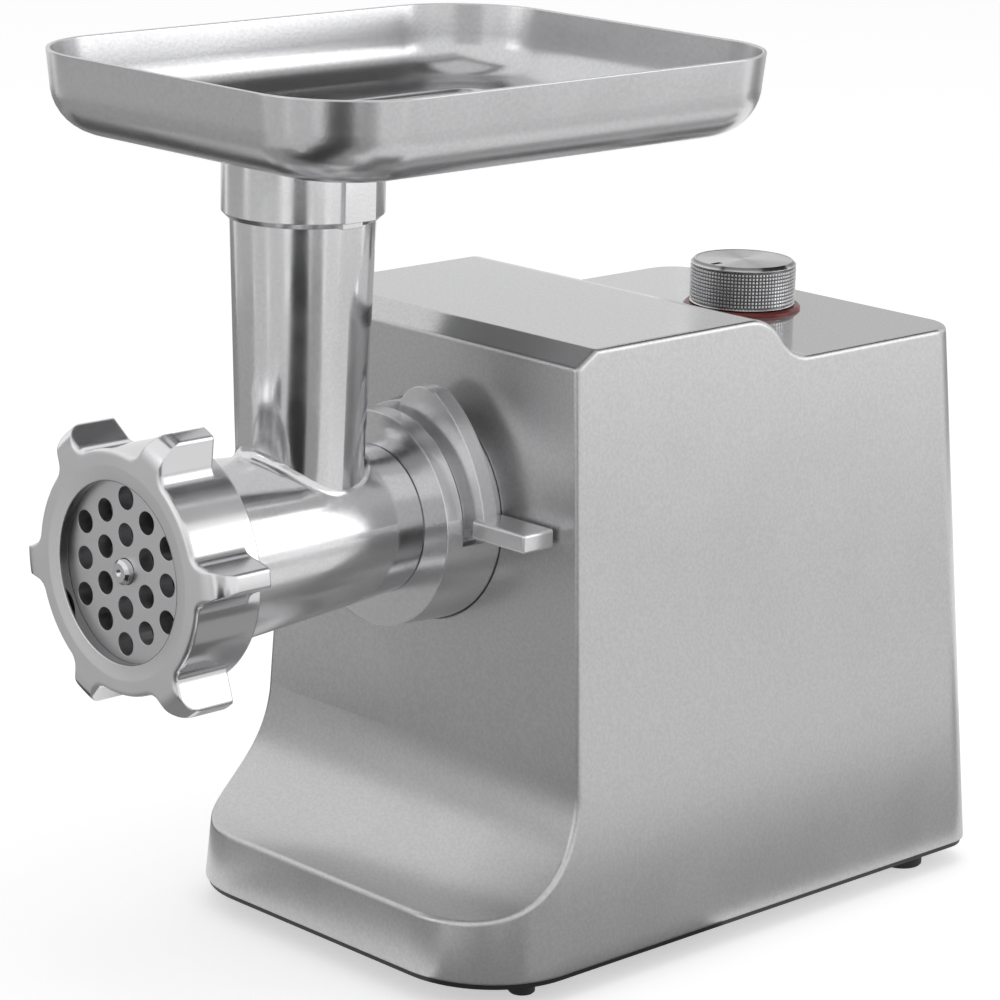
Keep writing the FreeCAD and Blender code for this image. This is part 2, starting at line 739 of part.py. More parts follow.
def make_head():
    """Barrel with feed tube, and the bush in its rear wall."""
    body = new_body("head_body", z="axis_height")
    bush_bore = "neck_radius + bush_wall"
    barrel_y = "socket_face_y - seat_clearance"
    revolve(body, "barrel", [
        ("plug_rear_y", "0"), ("plug_rear_y", "plug_radius"), (barrel_y, "plug_radius"),
        (barrel_y, "barrel_rear_radius"), ("thread_rear_y", "barrel_front_radius"),
        ("thread_rear_y", "thread_radius"), ("rim_y", "thread_radius"), ("rim_y", "0"),
    ])
    tube = body.newObject("PartDesign::AdditiveCone", "tube")
    place(tube, y="feed_y")
    bind(tube, Radius1="tube_low_radius", Radius2="tube_top_radius", Height="collar_z - axis_height")
    doc.recompute()
    body.Tip = tube
    low = size("tube_low_radius")

    def at_joint(edge):
        box = edge.BoundBox
        return box.ZLength > 1 and box.XLength > low and box.YLength > low and box.ZMin > 0

    round_edges(body, "tube_root", "tube_fillet", at_joint)
    collar = revolve(body, "collar", [
        ("collar_z - axis_height", "0"), ("collar_z - axis_height", "collar_radius - collar_chamfer"),
        ("collar_z - axis_height + collar_chamfer", "collar_radius"),
        (f"{COLLAR_TOP} - axis_height", "collar_radius"), (f"{COLLAR_TOP} - axis_height", "0"),
    ], "z")
    collar.Profile[0].setExpression("AttachmentOffset.Base.z", formula("-feed_y"))
    for name, width, reach, bottom in (("rib", "rib_width", "rib_reach", "(collar_z + collar_chamfer)"),
                                       ("tab", "tab_width", "tab_reach", "collar_z")):
        box = body.newObject("PartDesign::AdditiveBox", f"collar_{name}")
        bind(box, Length=f"2 * {reach}", Width=width, Height=f"{COLLAR_TOP} - {bottom}")
        place(box, f"-{reach}", "feed_y - rib_width / 2", f"{bottom} - axis_height")
    revolve(body, "bore", [
        ("plug_rear_y + cut_margin", "0"), ("plug_rear_y + cut_margin", bush_bore),
        ("end_wall_y", bush_bore), ("end_wall_y", "bore_rear_radius"),
        ("plate_face_y + plate_thickness", "bore_front_radius"),
        ("plate_face_y + plate_thickness", "plate_radius + plate_clearance"),
        ("rim_y - cut_margin", "plate_radius + plate_clearance"), ("rim_y - cut_margin", "0"),
    ], kind="PartDesign::Groove")
    for name, radius, bottom in (("throat", "throat_radius", "axis_height"),
                                 ("spout_seat", "spout_radius + seat_clearance",
                                  f"{COLLAR_TOP} - spout_depth - seat_clearance")):
        hole = body.newObject("PartDesign::SubtractiveCylinder", name)
        bind(hole, Radius=radius, Height=f"{COLLAR_TOP} + cut_margin - ({bottom})")
        place(hole, y="feed_y", z=f"{bottom} - axis_height")
    node(body, "grinder_head")
    turned("head_bush", [
        ("plug_rear_y", "neck_radius + running_clearance"), ("plug_rear_y", bush_bore),
        ("end_wall_y", bush_bore), ("end_wall_y", "neck_radius + running_clearance"),
    ])


def hexagon_prism(flats, length):
    """Hexagonal bar along Z."""
    corner = flats / math.sqrt(3)
    turns = [math.radians(60 * step) for step in range(7)]
    points = [Vector(corner * math.cos(turn), corner * math.sin(turn), 0) for turn in turns]
    return Part.Face(Part.makePolygon(points)).extrude(Vector(0, 0, length))


def make_auger():
    """Auger with neck, hexagonal drive end, helical flight, knife square and nose."""
    rear = size("flight_rear_y")
    length = rear - size("flight_front_y")
    bore_length = size("end_wall_y") - size("plate_face_y") - size("plate_thickness")
    widening = (size("bore_front_radius") - size("bore_rear_radius")) / bore_length
    edge_rear = size("bore_rear_radius") - size("flight_clearance") + widening * (size("end_wall_y") - rear)
    edge_front = edge_rear + widening * length
    core = Part.makeCone(size("auger_core_rear"), size("auger_core_front"), length)
    spine = Part.makeHelix(size("auger_pitch"), length - size("flight_thickness"), edge_rear)
    inner = size("auger_core_front") / 2
    outer = edge_front + size("flight_clearance")
    thick = size("flight_thickness")
    section = Part.makePolygon([Vector(inner, 0, 0), Vector(outer, 0, 0), Vector(outer, 0, thick),
                                Vector(inner, 0, thick), Vector(inner, 0, 0)])
    flight = Part.Wire(spine).makePipeShell([section], True, True)
    flight = flight.common(Part.makeCone(edge_rear, edge_front, length))
    neck_rear = size("plug_rear_y")
    neck = Part.makeCylinder(size("neck_radius"), neck_rear - rear, Vector(0, 0, rear - neck_rear))
    drive = hexagon_prism(size("drive_flats"), size("drive_end_y") - neck_rear)
    drive.translate(Vector(0, 0, rear - size("drive_end_y")))
    side = size("knife_square")
    square = Part.makeBox(side, side, rear - length - size("knife_front_y"),
                          Vector(-side / 2, -side / 2, length))
    nose = Part.makeCylinder(size("nose_radius"), rear - size("nose_y") - length, Vector(0, 0, length))
    tip = [edge for edge in nose.Edges if edge.BoundBox.ZMin > rear - size("nose_y") - 0.01]
    nose = nose.makeChamfer(size("nose_radius") / 4, tip)
    centre = size("nose_centre")
    nose = nose.cut(Part.makeCone(0, centre, centre, Vector(0, 0, rear - size("nose_y") - centre)))
    shape = core
    for piece in (flight, neck, drive, square, nose):
        shape = shape.fuse(piece)
    code_made("auger", shape,
              Placement(Vector(0, rear, size("axis_height")), Rotation(Vector(1, 0, 0), 90)))


def make_cutting_set():
    """Knife, plate and ring nut at the front of the barrel."""
    thickness = "knife_thickness"
    blades = [block("blade_across", ("2 * knife_reach", thickness, "blade_width"),
                    ("-knife_reach", "knife_front_y", "axis_height - blade_width / 2")),
              block("blade_upright", ("blade_width", thickness, "2 * knife_reach"),
                    ("-blade_width / 2", "knife_front_y", "axis_height - knife_reach")),
              rod("knife_hub", "knife_hub_radius", thickness, "0", "knife_front_y", "axis_height", "y")]
    hole = "knife_square + 2 * plate_clearance"
    square = block("knife_hole", (hole, "2 * cut_margin", hole),
                   (f"-({hole}) / 2", "knife_front_y - cut_margin", f"axis_height - ({hole}) / 2"))
    node(cut("knife", fuse("knife_blades", *blades), square), "cutting_knife")

    plate = new_body("plate_body", y="plate_face_y + plate_thickness / 2", z="axis_height")
    disc = new_sketch(plate, "plate_disc", "XZ_Plane")
    draw_circle(disc, "0", "0", "plate_radius")
    draw_circle(disc, "0", "0", "nose_radius + 2 * plate_clearance")
    extrude(plate, "plate_pad", disc, "plate_thickness")
    for name, radius, turn in (("inner", "hole_pitch", 30), ("corner", "2 * hole_pitch", 30),
                               ("middle", "hole_pitch * sqrt(3)", 0)):
        sketch = new_sketch(plate, f"plate_{name}_hole", "XZ_Plane")
        draw_circle(sketch, f"{radius} * cos({turn})", f"{radius} * sin({turn})", "hole_radius")
        pocket = extrude(plate, f"plate_{name}_pocket", sketch, "2 * plate_thickness", "PartDesign::Pocket")
        doc.recompute()
        spread(plate, f"plate_{name}_ring", [pocket], "hole_count", "Y_Axis")
    node(plate, "cutting_plate")

    nut = new_body("nut_body", z="axis_height", rotation=Rotation(Vector(0, -1, 0), size("lug_angle")))
    thread_bore = "thread_radius + thread_clearance"
    seat_bore = "plate_radius + thread_clearance"
    revolve(nut, "nut_turn", [
        ("nut_front_y + nut_dish_depth", "nut_opening"), ("nut_front_y", "nut_dish_radius"),
        ("nut_front_y", "nut_radius"), ("nut_rear_y", "nut_radius"), ("nut_rear_y", thread_bore),
        ("rim_y - thread_clearance", thread_bore), ("rim_y - thread_clearance", seat_bore),
        ("plate_face_y - plate_clearance", seat_bore), ("plate_face_y - plate_clearance", "nut_opening"),
    ])
    lug = new_sketch(nut, "lug_outline", "XZ_Plane", "-(nut_front_y + lug_rear_y) / 2")
    lug_root = "(nut_radius - nut_wall / 2)"
    draw_outline(lug, [(lug_root, "-lug_root_width / 2"), ("lug_reach", "-lug_width / 2"),
                       ("lug_reach", "lug_width / 2"), (lug_root, "lug_root_width / 2")])
    pad = extrude(nut, "lug_pad", lug, "lug_rear_y - nut_front_y")
    doc.recompute()
    spread(nut, "lug_ring", [pad], "lug_count", "Y_Axis")
    nut_radius = size("nut_radius")
    lug_height = size("lug_height")
    nut_edge = size("nut_edge")
    front = size("nut_front_y")

    def radius_of(edge):
        centre = edge.CenterOfMass
        return math.hypot(centre.x, centre.z)

    def at_root(edge):
        return runs_along(edge, Vector(0, 1, 0)) and abs(radius_of(edge) - nut_radius) < lug_height / 4

    def at_tip(edge):
        return runs_along(edge, Vector(0, 1, 0)) and radius_of(edge) > nut_radius + lug_height / 2

    def at_front(edge):
        return edge.BoundBox.YMax < front + nut_edge and radius_of(edge) > size("nut_dish_radius")

    round_edges(nut, "lug_roots", "lug_root_fillet", at_root)
    round_edges(nut, "lug_tips", "lug_tip_fillet", at_tip)
    round_edges(nut, "nut_front_edge", "nut_edge", at_front)
    drum = new_body("drum_body", z="axis_height")
    revolve(drum, "drum", [("nut_front_y", "0"), ("nut_front_y", "lug_reach"),
                           ("nut_rear_y", "lug_reach"), ("nut_rear_y", "0")])
    round_edges(drum, "drum_front", "lug_front_fillet", lambda edge: edge.BoundBox.YMax < front + nut_edge)
    node(common("nut", nut, drum), "ring_nut")


# Feed tray

def tray_block(name, inset):
    """Flared block with rounded corners and bottom edge, drawn in by an inset."""
    body = new_body(name + "_body")
    wedge = body.newObject("PartDesign::AdditiveWedge", name + "_wedge")
    place(wedge, z=f"tray_rim_z - tray_depth + {inset}", rotation=Rotation(Vector(1, 0, 0), 90))
    bind(wedge, Ymin="0", Ymax="tray_depth",
         Xmin=f"{inset} + tray_flare - tray_width / 2", Xmax=f"tray_width / 2 - tray_flare - {inset}",
         Zmin=f"{inset} + tray_flare - tray_rear_y", Zmax=f"-tray_front_y - tray_flare - {inset}",
         X2min=f"{inset} - tray_width / 2", X2max=f"tray_width / 2 - {inset}",
         Z2min=f"{inset} - tray_rear_y", Z2max=f"-tray_front_y - {inset}")
    depth = size("tray_depth")
    round_edges(body, name + "_corners", f"tray_corner - {inset}",
                lambda edge: edge.BoundBox.ZLength > depth / 2)
    floor = size("tray_rim_z") - depth + size("tray_wall")
    round_edges(body, name + "_bottom", f"tray_bottom_round - {inset}",
                lambda edge: edge.BoundBox.ZMax < floor + 0.01)
    return body


def make_tray():
    """Tray with a spout that drops into the feed tube."""
    pan = cut("tray_pan", tray_block("tray_outer", "0"), tray_block("tray_inner", "tray_wall"))
    spout_z = "tray_rim_z - tray_depth - spout_depth"
    spout = rod("tray_spout", "spout_radius", "spout_depth + tray_wall", "0", "feed_y", spout_z)
    hole = rod("tray_hole", "spout_radius - spout_wall", "tray_depth + spout_depth + cut_margin",
               "0", "feed_y", f"{spout_z} - cut_margin")
    node(cut("tray", fuse("tray_with_spout", pan, spout), hole), "feed_tray")


# Knob, ring, switch and power inlet

def make_controls():
    """Speed knob with its ring, the switch below it and the inlet in the rear face."""
    knob_bottom = f"{REAR_TOP} + ring_height + knob_gap"
    bore = "spindle_radius + running_clearance"
    turned("control_knob", [
        (knob_bottom, bore), (knob_bottom, "knob_radius"), ("knob_top_z - knob_chamfer", "knob_radius"),
        ("knob_top_z", "knob_radius - knob_chamfer"), ("knob_top_z", "0"),
        ("spindle_top_z", "0"), ("spindle_top_z", bore),
    ], "z", y="knob_y", z="0")
    turned("knob_ring", [
        (REAR_TOP, "switch_bush_radius + seat_clearance"), (REAR_TOP, "ring_radius"),
        (f"{REAR_TOP} + ring_height / 2", "ring_radius"),
        (f"{REAR_TOP} + ring_height", "ring_radius - ring_height / 2"),
        (f"{REAR_TOP} + ring_height", "switch_bush_radius + seat_clearance"),
    ], "z", y="knob_y", z="0")
    ceiling = f"({REAR_TOP} - wall)"
    case = block("switch_case", ("switch_width", "switch_width", "switch_depth"),
                 ("-switch_width / 2", "knob_y - switch_width / 2", f"{ceiling} - switch_depth"))
    neck = rod("switch_neck", "switch_bush_radius", "wall + ring_height", "0", "knob_y", ceiling)
    spindle_bottom = f"{ceiling} - switch_depth / 2"
    hole = rod("switch_bore", bore, "switch_depth + cut_margin", "0", "knob_y", spindle_bottom)
    node(cut("switch", fuse("switch_body", case, neck), hole), "rotary_switch")
    spindle_length = f"spindle_top_z - ({spindle_bottom}) - running_clearance"
    node(rod("spindle", "spindle_radius", spindle_length, "0", "knob_y", spindle_bottom), "switch_spindle")

    flange = block("inlet_flange", ("inlet_flange_width", "inlet_flange_thickness", "inlet_flange_height"),
                   ("-inlet_flange_width / 2", "0", "-inlet_flange_height / 2"))
    barrel = block("inlet_barrel", ("inlet_width", "inlet_depth", "inlet_height"),
                   ("-inlet_width / 2", "-inlet_depth", "-inlet_height / 2"))
    pocket = block("inlet_pocket_box", ("inlet_width - 2 * inlet_rim", "inlet_pocket + cut_margin",
                                        "inlet_height - 2 * inlet_rim"),
                   ("inlet_rim - inlet_width / 2", "-inlet_pocket", "inlet_rim - inlet_height / 2"))
    pins = [rod(f"inlet_pin_{step}", "inlet_pin_radius", "inlet_pocket", f"{step} * inlet_pin_pitch",
                "-inlet_pocket", "0", "y") for step in (-1, 0, 1)]
    head_seat = "inlet_flange_thickness - screw_head_height"
    holes = []
    screws = []
    for side in (-1, 1):
        x = f"{side} * inlet_screw_x"
        holes.append(rod(f"inlet_hole_{side}", "screw_radius + screw_clearance", "2 * cut_margin",
                         x, "-cut_margin", "0", "y"))
        holes.append(rod(f"inlet_head_hole_{side}", "screw_head_radius + screw_clearance", "cut_margin",
                         x, head_seat, "0", "y"))
        screws.append(screw(f"inlet_screw_{side}", "inlet_screw_length", x, head_seat, "0", "y", -1))
    inlet = fuse("inlet", cut("inlet_shell", fuse("inlet_blank", flange, barrel), pocket, *holes), *pins)
    node(place(inlet, y=INLET_Y, z="inlet_z", rotation=rear_lean()), "power_inlet")
    screw_pair = group("inlet_screw_group", *screws)
    node(place(screw_pair, y=INLET_Y, z="inlet_z", rotation=rear_lean()), "inlet_screws")


# Gear train

def tooth_outline(module, teeth):
    """Corners of an involute spur gear in the XZ plane, with one tooth centred on +X."""
    pitch = module * teeth / 2
    slant = math.radians(size("pressure_angle"))
    base = pitch * math.cos(slant)
    root = pitch - size("dedendum") * module
    tip = pitch + size("addendum") * module
    half_pitch = math.pi / (2 * teeth) - size("backlash") / (4 * pitch)

    def half_tooth(radius):
        turn = math.acos(min(1, base / radius))
        return half_pitch + math.tan(slant) - slant - math.tan(turn) + turn

    radii = [root, max(root, base), pitch, tip]
    points = []
    for tooth in range(teeth):
        centre = 2 * math.pi * tooth / teeth
        flank = [(radius, half_tooth(radius)) for radius in radii]
        for radius, half in flank:
            points.append((radius, centre - half))
        for radius, half in reversed(flank):
            points.append((radius, centre + half))
    return [Vector(radius * math.cos(turn), 0, radius * math.sin(turn)) for radius, turn in points]


def toothed(module, teeth, start, width):
    """Spur gear along Y from a start."""
    points = tooth_outline(module, teeth)
    outline = []
    for point in points:
        if not outline or point.distanceToPoint(outline[-1]) > 1e-6:
            outline.append(point)
    face = Part.Face(Part.makePolygon(outline + outline[:1]))
    gear = face.extrude(Vector(0, width, 0))
    gear.translate(Vector(0, start, 0))
    return gear


def round_bar(radius, start, end):
    """Cylinder along Y between two places."""
    return Part.makeCylinder(radius, end - start, Vector(0, start, 0), Vector(0, 1, 0))


def mesh_turn(driver_turn, driver_teeth, follower_teeth, line):
    """Turn that brings a follower's gaps onto a driver's teeth, along their line of centres."""
    share = (line - driver_turn) * driver_teeth / (2 * math.pi)
    return line + math.pi + (share + 0.5) * 2 * math.pi / follower_teeth


def make_gears():
    """Output gear with its shaft, two compound gears on pins, and the motor shaft with its pinion."""
    small = int(size("pinion_teeth"))
    fast, mid, slow = (int(size(name)) for name in ("fast_teeth", "mid_teeth", "slow_teeth"))
    drive = (0.0, size("axis_height"))
    second = (size("second_gear_x"), size("second_gear_z"))
    first = (size("first_gear_x"), size("first_gear_z"))
    motor = (0.0, size("motor_height"))

    def line_of(start, end):
        return math.atan2(end[1] - start[1], end[0] - start[0])

    def at(centre, turn):
        return Placement(Vector(centre[0], 0, centre[1]), Rotation(Vector(0, -1, 0), math.degrees(turn)))

    slow_y, mid_y, fast_y = (size(name) for name in ("slow_plane_y", "mid_plane_y", "fast_plane_y"))
    slow_wide, mid_wide, fast_wide = (size(name) for name in ("slow_width", "mid_width", "fast_width"))
    bore = size("pin_radius") + size("running_clearance")

    output = toothed(size("slow_module"), slow, slow_y, slow_wide)
    front = size("output_front_y")
    shaft = round_bar(size("output_radius"), front, slow_y + slow_wide)
    tail = round_bar(size("output_tail_radius"), slow_y, size("case_rear_y"))
    socket = hexagon_prism(size("drive_flats") + 2 * size("drive_clearance"),
                           size("drive_end_y") - front + size("drive_gap"))
    socket.Placement = Placement(Vector(0, front, 0), Rotation(Vector(1, 0, 0), -90))
    code_made("output_gear", output.fuse([shaft, tail]).cut(socket).removeSplitter(), at(drive, 0.0))

    line = line_of(drive, second)
    second_turn = mesh_turn(0.0, slow, small, line)
    pinion = toothed(size("slow_module"), small, slow_y, mid_y - slow_y + mid_wide / 2)
    wheel = toothed(size("mid_module"), mid, mid_y, mid_wide)
    code_made("second_gear", wheel.fuse(pinion).cut(round_bar(bore, slow_y, mid_y + mid_wide)),
              at(second, second_turn))

    line = line_of(second, first)
    first_turn = mesh_turn(second_turn, mid, small, line)
    pinion = toothed(size("mid_module"), small, mid_y, fast_y - mid_y + fast_wide / 2)
    wheel = toothed(size("fast_module"), fast, fast_y, fast_wide)
    code_made("first_gear", wheel.fuse(pinion).cut(round_bar(bore, mid_y, fast_y + fast_wide)),
              at(first, first_turn))

    line = line_of(first, motor)
    motor_turn = mesh_turn(first_turn, fast, small, line)
    pinion = toothed(size("fast_module"), small, fast_y, fast_wide)
    shaft = round_bar(size("shaft_radius"), fast_y, size("shaft_rear_y"))
    code_made("rotor_shaft", pinion.fuse(shaft), at(motor, motor_turn))


def make_gearbox():
    """Case, cover, pins, bushes and screws of the gear train."""
    x = "case_half_width"
    top = "axis_height + slow_tip + gear_clearance + case_wall"
    bottom = "motor_height - case_drop"
    depth = "case_rear_y - case_front_y"
    height = f"{top} - ({bottom})"
    clear_hole = "screw_radius + screw_clearance"
    through = "2 * cut_margin"
    tub = block("case_block", (f"2 * {x}", depth, height), (f"-{x}", "case_front_y", bottom))
    hollow = block("case_hollow", (f"2 * ({x} - case_wall)", depth, f"{height} - 2 * case_wall"),
                   (f"case_wall - {x}", "case_front_y - case_wall", f"{bottom} + case_wall"))
    cover = block("cover_block", (f"2 * {x}", "cover_thickness", height),
                  (f"-{x}", "case_front_y - cover_thickness", bottom))
    pinion_hole = "fast_module * (pinion_teeth / 2 + addendum) + seat_clearance"
    case_tools = [
        rod("case_tail_hole", "output_tail_radius + bush_wall", through, "0",
            "case_rear_y - cut_margin", "axis_height", "y"),
        rod("case_motor_hole", pinion_hole, through, "0", "case_rear_y - cut_margin", "motor_height", "y"),
    ]
    cover_tools = [rod("cover_hole", "output_radius + bush_wall", through, "0",
                       "case_front_y - cut_margin", "axis_height", "y")]
    pin_y = "case_front_y - cover_thickness / 2"
    pin_hole = "pin_radius + screw_clearance"
    for name in ("first_gear", "second_gear"):
        pin_x = f"{name}_x"
        pin_z = f"{name}_z"
        node(rod(f"{name}_axle", "pin_radius", f"case_rear_y - ({pin_y})", pin_x, pin_y, pin_z, "y"),
             f"{name}_pin")
        case_tools.append(rod(f"{name}_case_seat", pin_hole, "2 * case_wall", pin_x,
                              "case_rear_y - 1.5 * case_wall", pin_z, "y"))
        cover_tools.append(rod(f"{name}_cover_seat", pin_hole, "cover_thickness", pin_x, pin_y, pin_z, "y"))
    bosses = []
    screws = []
    for side in (-1, 1):
        for name, level, inward in (("low", bottom, 1), ("high", top, -1)):
            tag = f"{name}_{side}"
            screw_x = f"{side} * ({x} - case_boss_radius)"
            screw_z = f"{level} + {inward} * case_boss_radius"
            bosses.append(rod(f"case_boss_{tag}", "case_boss_radius", depth, screw_x, "case_front_y",
                              screw_z, "y"))
            case_tools.append(rod(f"case_screw_hole_{tag}", clear_hole, f"{depth} - case_wall", screw_x,
                                  "case_front_y", screw_z, "y"))
            cover_tools.append(rod(f"cover_screw_hole_{tag}", clear_hole, through, screw_x,
                                   "case_front_y - cut_margin", screw_z, "y"))
            screws.append(screw(f"gearbox_screw_{tag}", f"cover_thickness + ({depth}) - 2 * case_wall",
                                screw_x, "case_front_y - cover_thickness", screw_z, "y"))
    for index, (screw_x, screw_z) in enumerate(socket_screw_places()):
        cover_tools.append(rod(f"cover_socket_hole_{index}", clear_hole, through, screw_x,
                               "case_front_y - cut_margin", screw_z, "y"))
        cover_tools.append(rod(f"cover_head_hole_{index}", "screw_head_radius + screw_clearance",
                               "cut_margin", screw_x, "case_front_y - screw_head_height", screw_z, "y"))
    walls = fuse("case_walls", cut("case_tub", tub, hollow), *bosses)
    node(cut("case", walls, *case_tools), "gearbox_case")
    node(cut("cover", cover, *cover_tools), "gearbox_cover")
    node(group("gearbox_screw_group", *screws), "gearbox_screws")
    for label, start, end, radius in (
            ("output_front_bush", "case_front_y - cover_thickness", "case_front_y", "output_radius"),
            ("output_rear_bush", "case_rear_y - case_wall", "case_rear_y", "output_tail_radius")):
        turned(label, [
            (start, f"{radius} + running_clearance"), (start, f"{radius} + bush_wall"),
            (end, f"{radius} + bush_wall"), (end, f"{radius} + running_clearance"),
        ])


# Motor

def make_rotor():
    """Pieces that turn with the motor shaft."""
    core_radius = "stator_bore - air_gap"
    body = new_body("core_body", y="stator_front_y + stator_length / 2", z="motor_height")
    disc = new_sketch(body, "core_disc", "XZ_Plane")
    draw_circle(disc, "0", "0", core_radius)
    draw_circle(disc, "0", "0", "shaft_radius")
    extrude(body, "core_pad", disc, "stator_length")
    slot = new_sketch(body, "core_slot", "XZ_Plane")
    inner = f"{core_radius} - core_slot_depth"
    outer = f"{core_radius} + core_slot_depth"
    draw_outline(slot, [(inner, "-core_slot_width / 2"), (outer, "-core_slot_width / 2"),
                        (outer, "core_slot_width / 2"), (inner, "core_slot_width / 2")])
    pocket = extrude(body, "core_slot_pocket", slot, "2 * stator_length", "PartDesign::Pocket")
    doc.recompute()
    spread(body, "core_slot_ring", [pocket], "core_slots", "Y_Axis")
    node(body, "armature_core")
    rear = "stator_front_y + stator_length"
    windings = []
    for name, start in (("front", "stator_front_y - winding_length"), ("rear", rear)):
        ring, bore = (rod(f"winding_{name}_{kind}", radius, "winding_length", "0", start, "motor_height", "y")
                      for kind, radius in (("ring", "winding_radius"), ("bore", "shaft_radius")))
        windings.append(cut(f"winding_{name}", ring, bore))
    node(group("winding_pair", *windings), "armature_windings")
    commutator_y = f"{rear} + winding_length"
    turned("commutator", [
        (commutator_y, "shaft_radius"), (commutator_y, "commutator_radius"),
        (f"{commutator_y} + commutator_length", "commutator_radius"),
        (f"{commutator_y} + commutator_length", "shaft_radius"),
    ], z="motor_height")
    fan_depth = "fan_thickness + fan_blade_depth"
    hub = rod("fan_hub", "fan_hub_radius", fan_depth, "0", "fan_y", "motor_height", "y")
    disc = rod("fan_disc", "fan_radius", "fan_thickness", "0", "fan_y", "motor_height", "y")
    blades = []
    for index in range(int(size("fan_blades"))):
        blade = doc.addObject("Part::Box", f"fan_blade_{index}")
        bind(blade, Length="fan_radius - fan_hub_radius / 2 - fan_thickness", Width=fan_depth,
             Height="fan_blade_thickness")
        turn = 360.0 * index / size("fan_blades")
        place(blade, f"fan_hub_radius / 2 * cos({turn})", "fan_y",
              f"motor_height + fan_hub_radius / 2 * sin({turn})", Rotation(Vector(0, -1, 0), turn))
        blades.append(blade)
    bore = rod("fan_bore", "shaft_radius", "2 * cut_margin", "0", "fan_y - cut_margin", "motor_height", "y")
    node(cut("fan", fuse("fan_blank", hub, disc, *blades), bore), "cooling_fan")


def post_places():
    """Where the motor's four bolts run, across and up."""
    return [(f"{across} * post_spread", f"motor_height + {up} * post_spread")
            for across in (-1, 1) for up in (-1, 1)]


def bracket(name, start, radius, post_start, post_length):
    """Round end bracket with four posts to the stator and a bearing seat."""
    disc = rod(f"{name}_disc", radius, "bracket_thickness", "0", start, "motor_height", "y")
    seat = rod(f"{name}_seat", "bearing_radius", "2 * cut_margin", "0", f"{start} - cut_margin",
               "motor_height", "y")
    posts = []
    holes = []
    for index, (x, z) in enumerate(post_places()):
        posts.append(rod(f"{name}_post_{index}", "post_radius", post_length, x, post_start, z, "y"))
        holes.append(rod(f"{name}_hole_{index}", "bolt_radius + screw_clearance",
                         f"{post_length} + 2 * cut_margin", x, f"{post_start} - cut_margin", z, "y"))
    node(cut(f"{name}_solid", fuse(f"{name}_blank", disc, *posts), seat, *holes), name)


def make_coils():
    """Field coils at both ends of the stator, clear of the bracket posts."""
    coils = []
    for end, start in (("front", "stator_front_y - coil_length"), ("rear", "stator_front_y + stator_length")):
        hole_y = f"{start} - cut_margin"
        for side, middle in (("top", 90), ("bottom", 270)):
            name = f"coil_{end}_{side}"
            arc = bind(doc.addObject("Part::Cylinder", f"{name}_arc"), Radius="coil_outer_radius",
                       Height="coil_length", Angle="coil_span")
            turn = Rotation(Vector(0, -1, 0), middle - size("coil_span") / 2)
            place(arc, "0", f"{start} + coil_length", "motor_height",
                  turn.multiply(Rotation(Vector(1, 0, 0), 90)))
            tools = [rod(f"{name}_bore", "coil_inner_radius", "2 * cut_margin", "0", hole_y,
                         "motor_height", "y")]
            for index, (x, z) in enumerate(post_places()):
                tools.append(rod(f"{name}_notch_{index}", "post_radius + seat_clearance", "2 * cut_margin",
                                 x, hole_y, z, "y"))
            coils.append(cut(name, arc, *tools))
    node(group("coil_set", *coils), "field_coils")


def make_brushes():
    """Carbon brushes on the commutator and the holders they slide in."""
    brushes = []
    holders = []
    brush_y = ("(stator_front_y + stator_length + winding_length"
               " + commutator_length / 2 - brush_width / 2)")
    holder_y = f"({brush_y} - holder_wall)"
    start = "(commutator_radius + brush_gap)"
    reach = f"({start} + brush_length)"
    inner = f"({start} + brush_length / 4)"
    outer = f"({reach} + holder_wall)"
    width = "(brush_width + 2 * holder_wall)"
    room = "(brush_width + 2 * running_clearance)"
    for side in (-1, 1):
        right = side > 0
        brushes.append(block(f"brush_{side}", ("brush_length", "brush_width", "brush_width"),
                             (start if right else f"-{reach}", brush_y, "motor_height - brush_width / 2")))
        holder = block(f"holder_block_{side}", (f"{outer} - {inner}", f"rear_bracket_y - {holder_y}", width),
                       (inner if right else f"-{outer}", holder_y, f"motor_height - {width} / 2"))
        tunnel = block(f"holder_tunnel_{side}", (f"{reach} + running_clearance", room, room),
                       ("0" if right else f"-{reach} - running_clearance",
                        f"{brush_y} - running_clearance", f"motor_height - {room} / 2"))
        holders.append(cut(f"holder_{side}", holder, tunnel))
    node(group("brush_pair", *brushes), "carbon_brushes")
    node(group("holder_pair", *holders), "brush_holders")


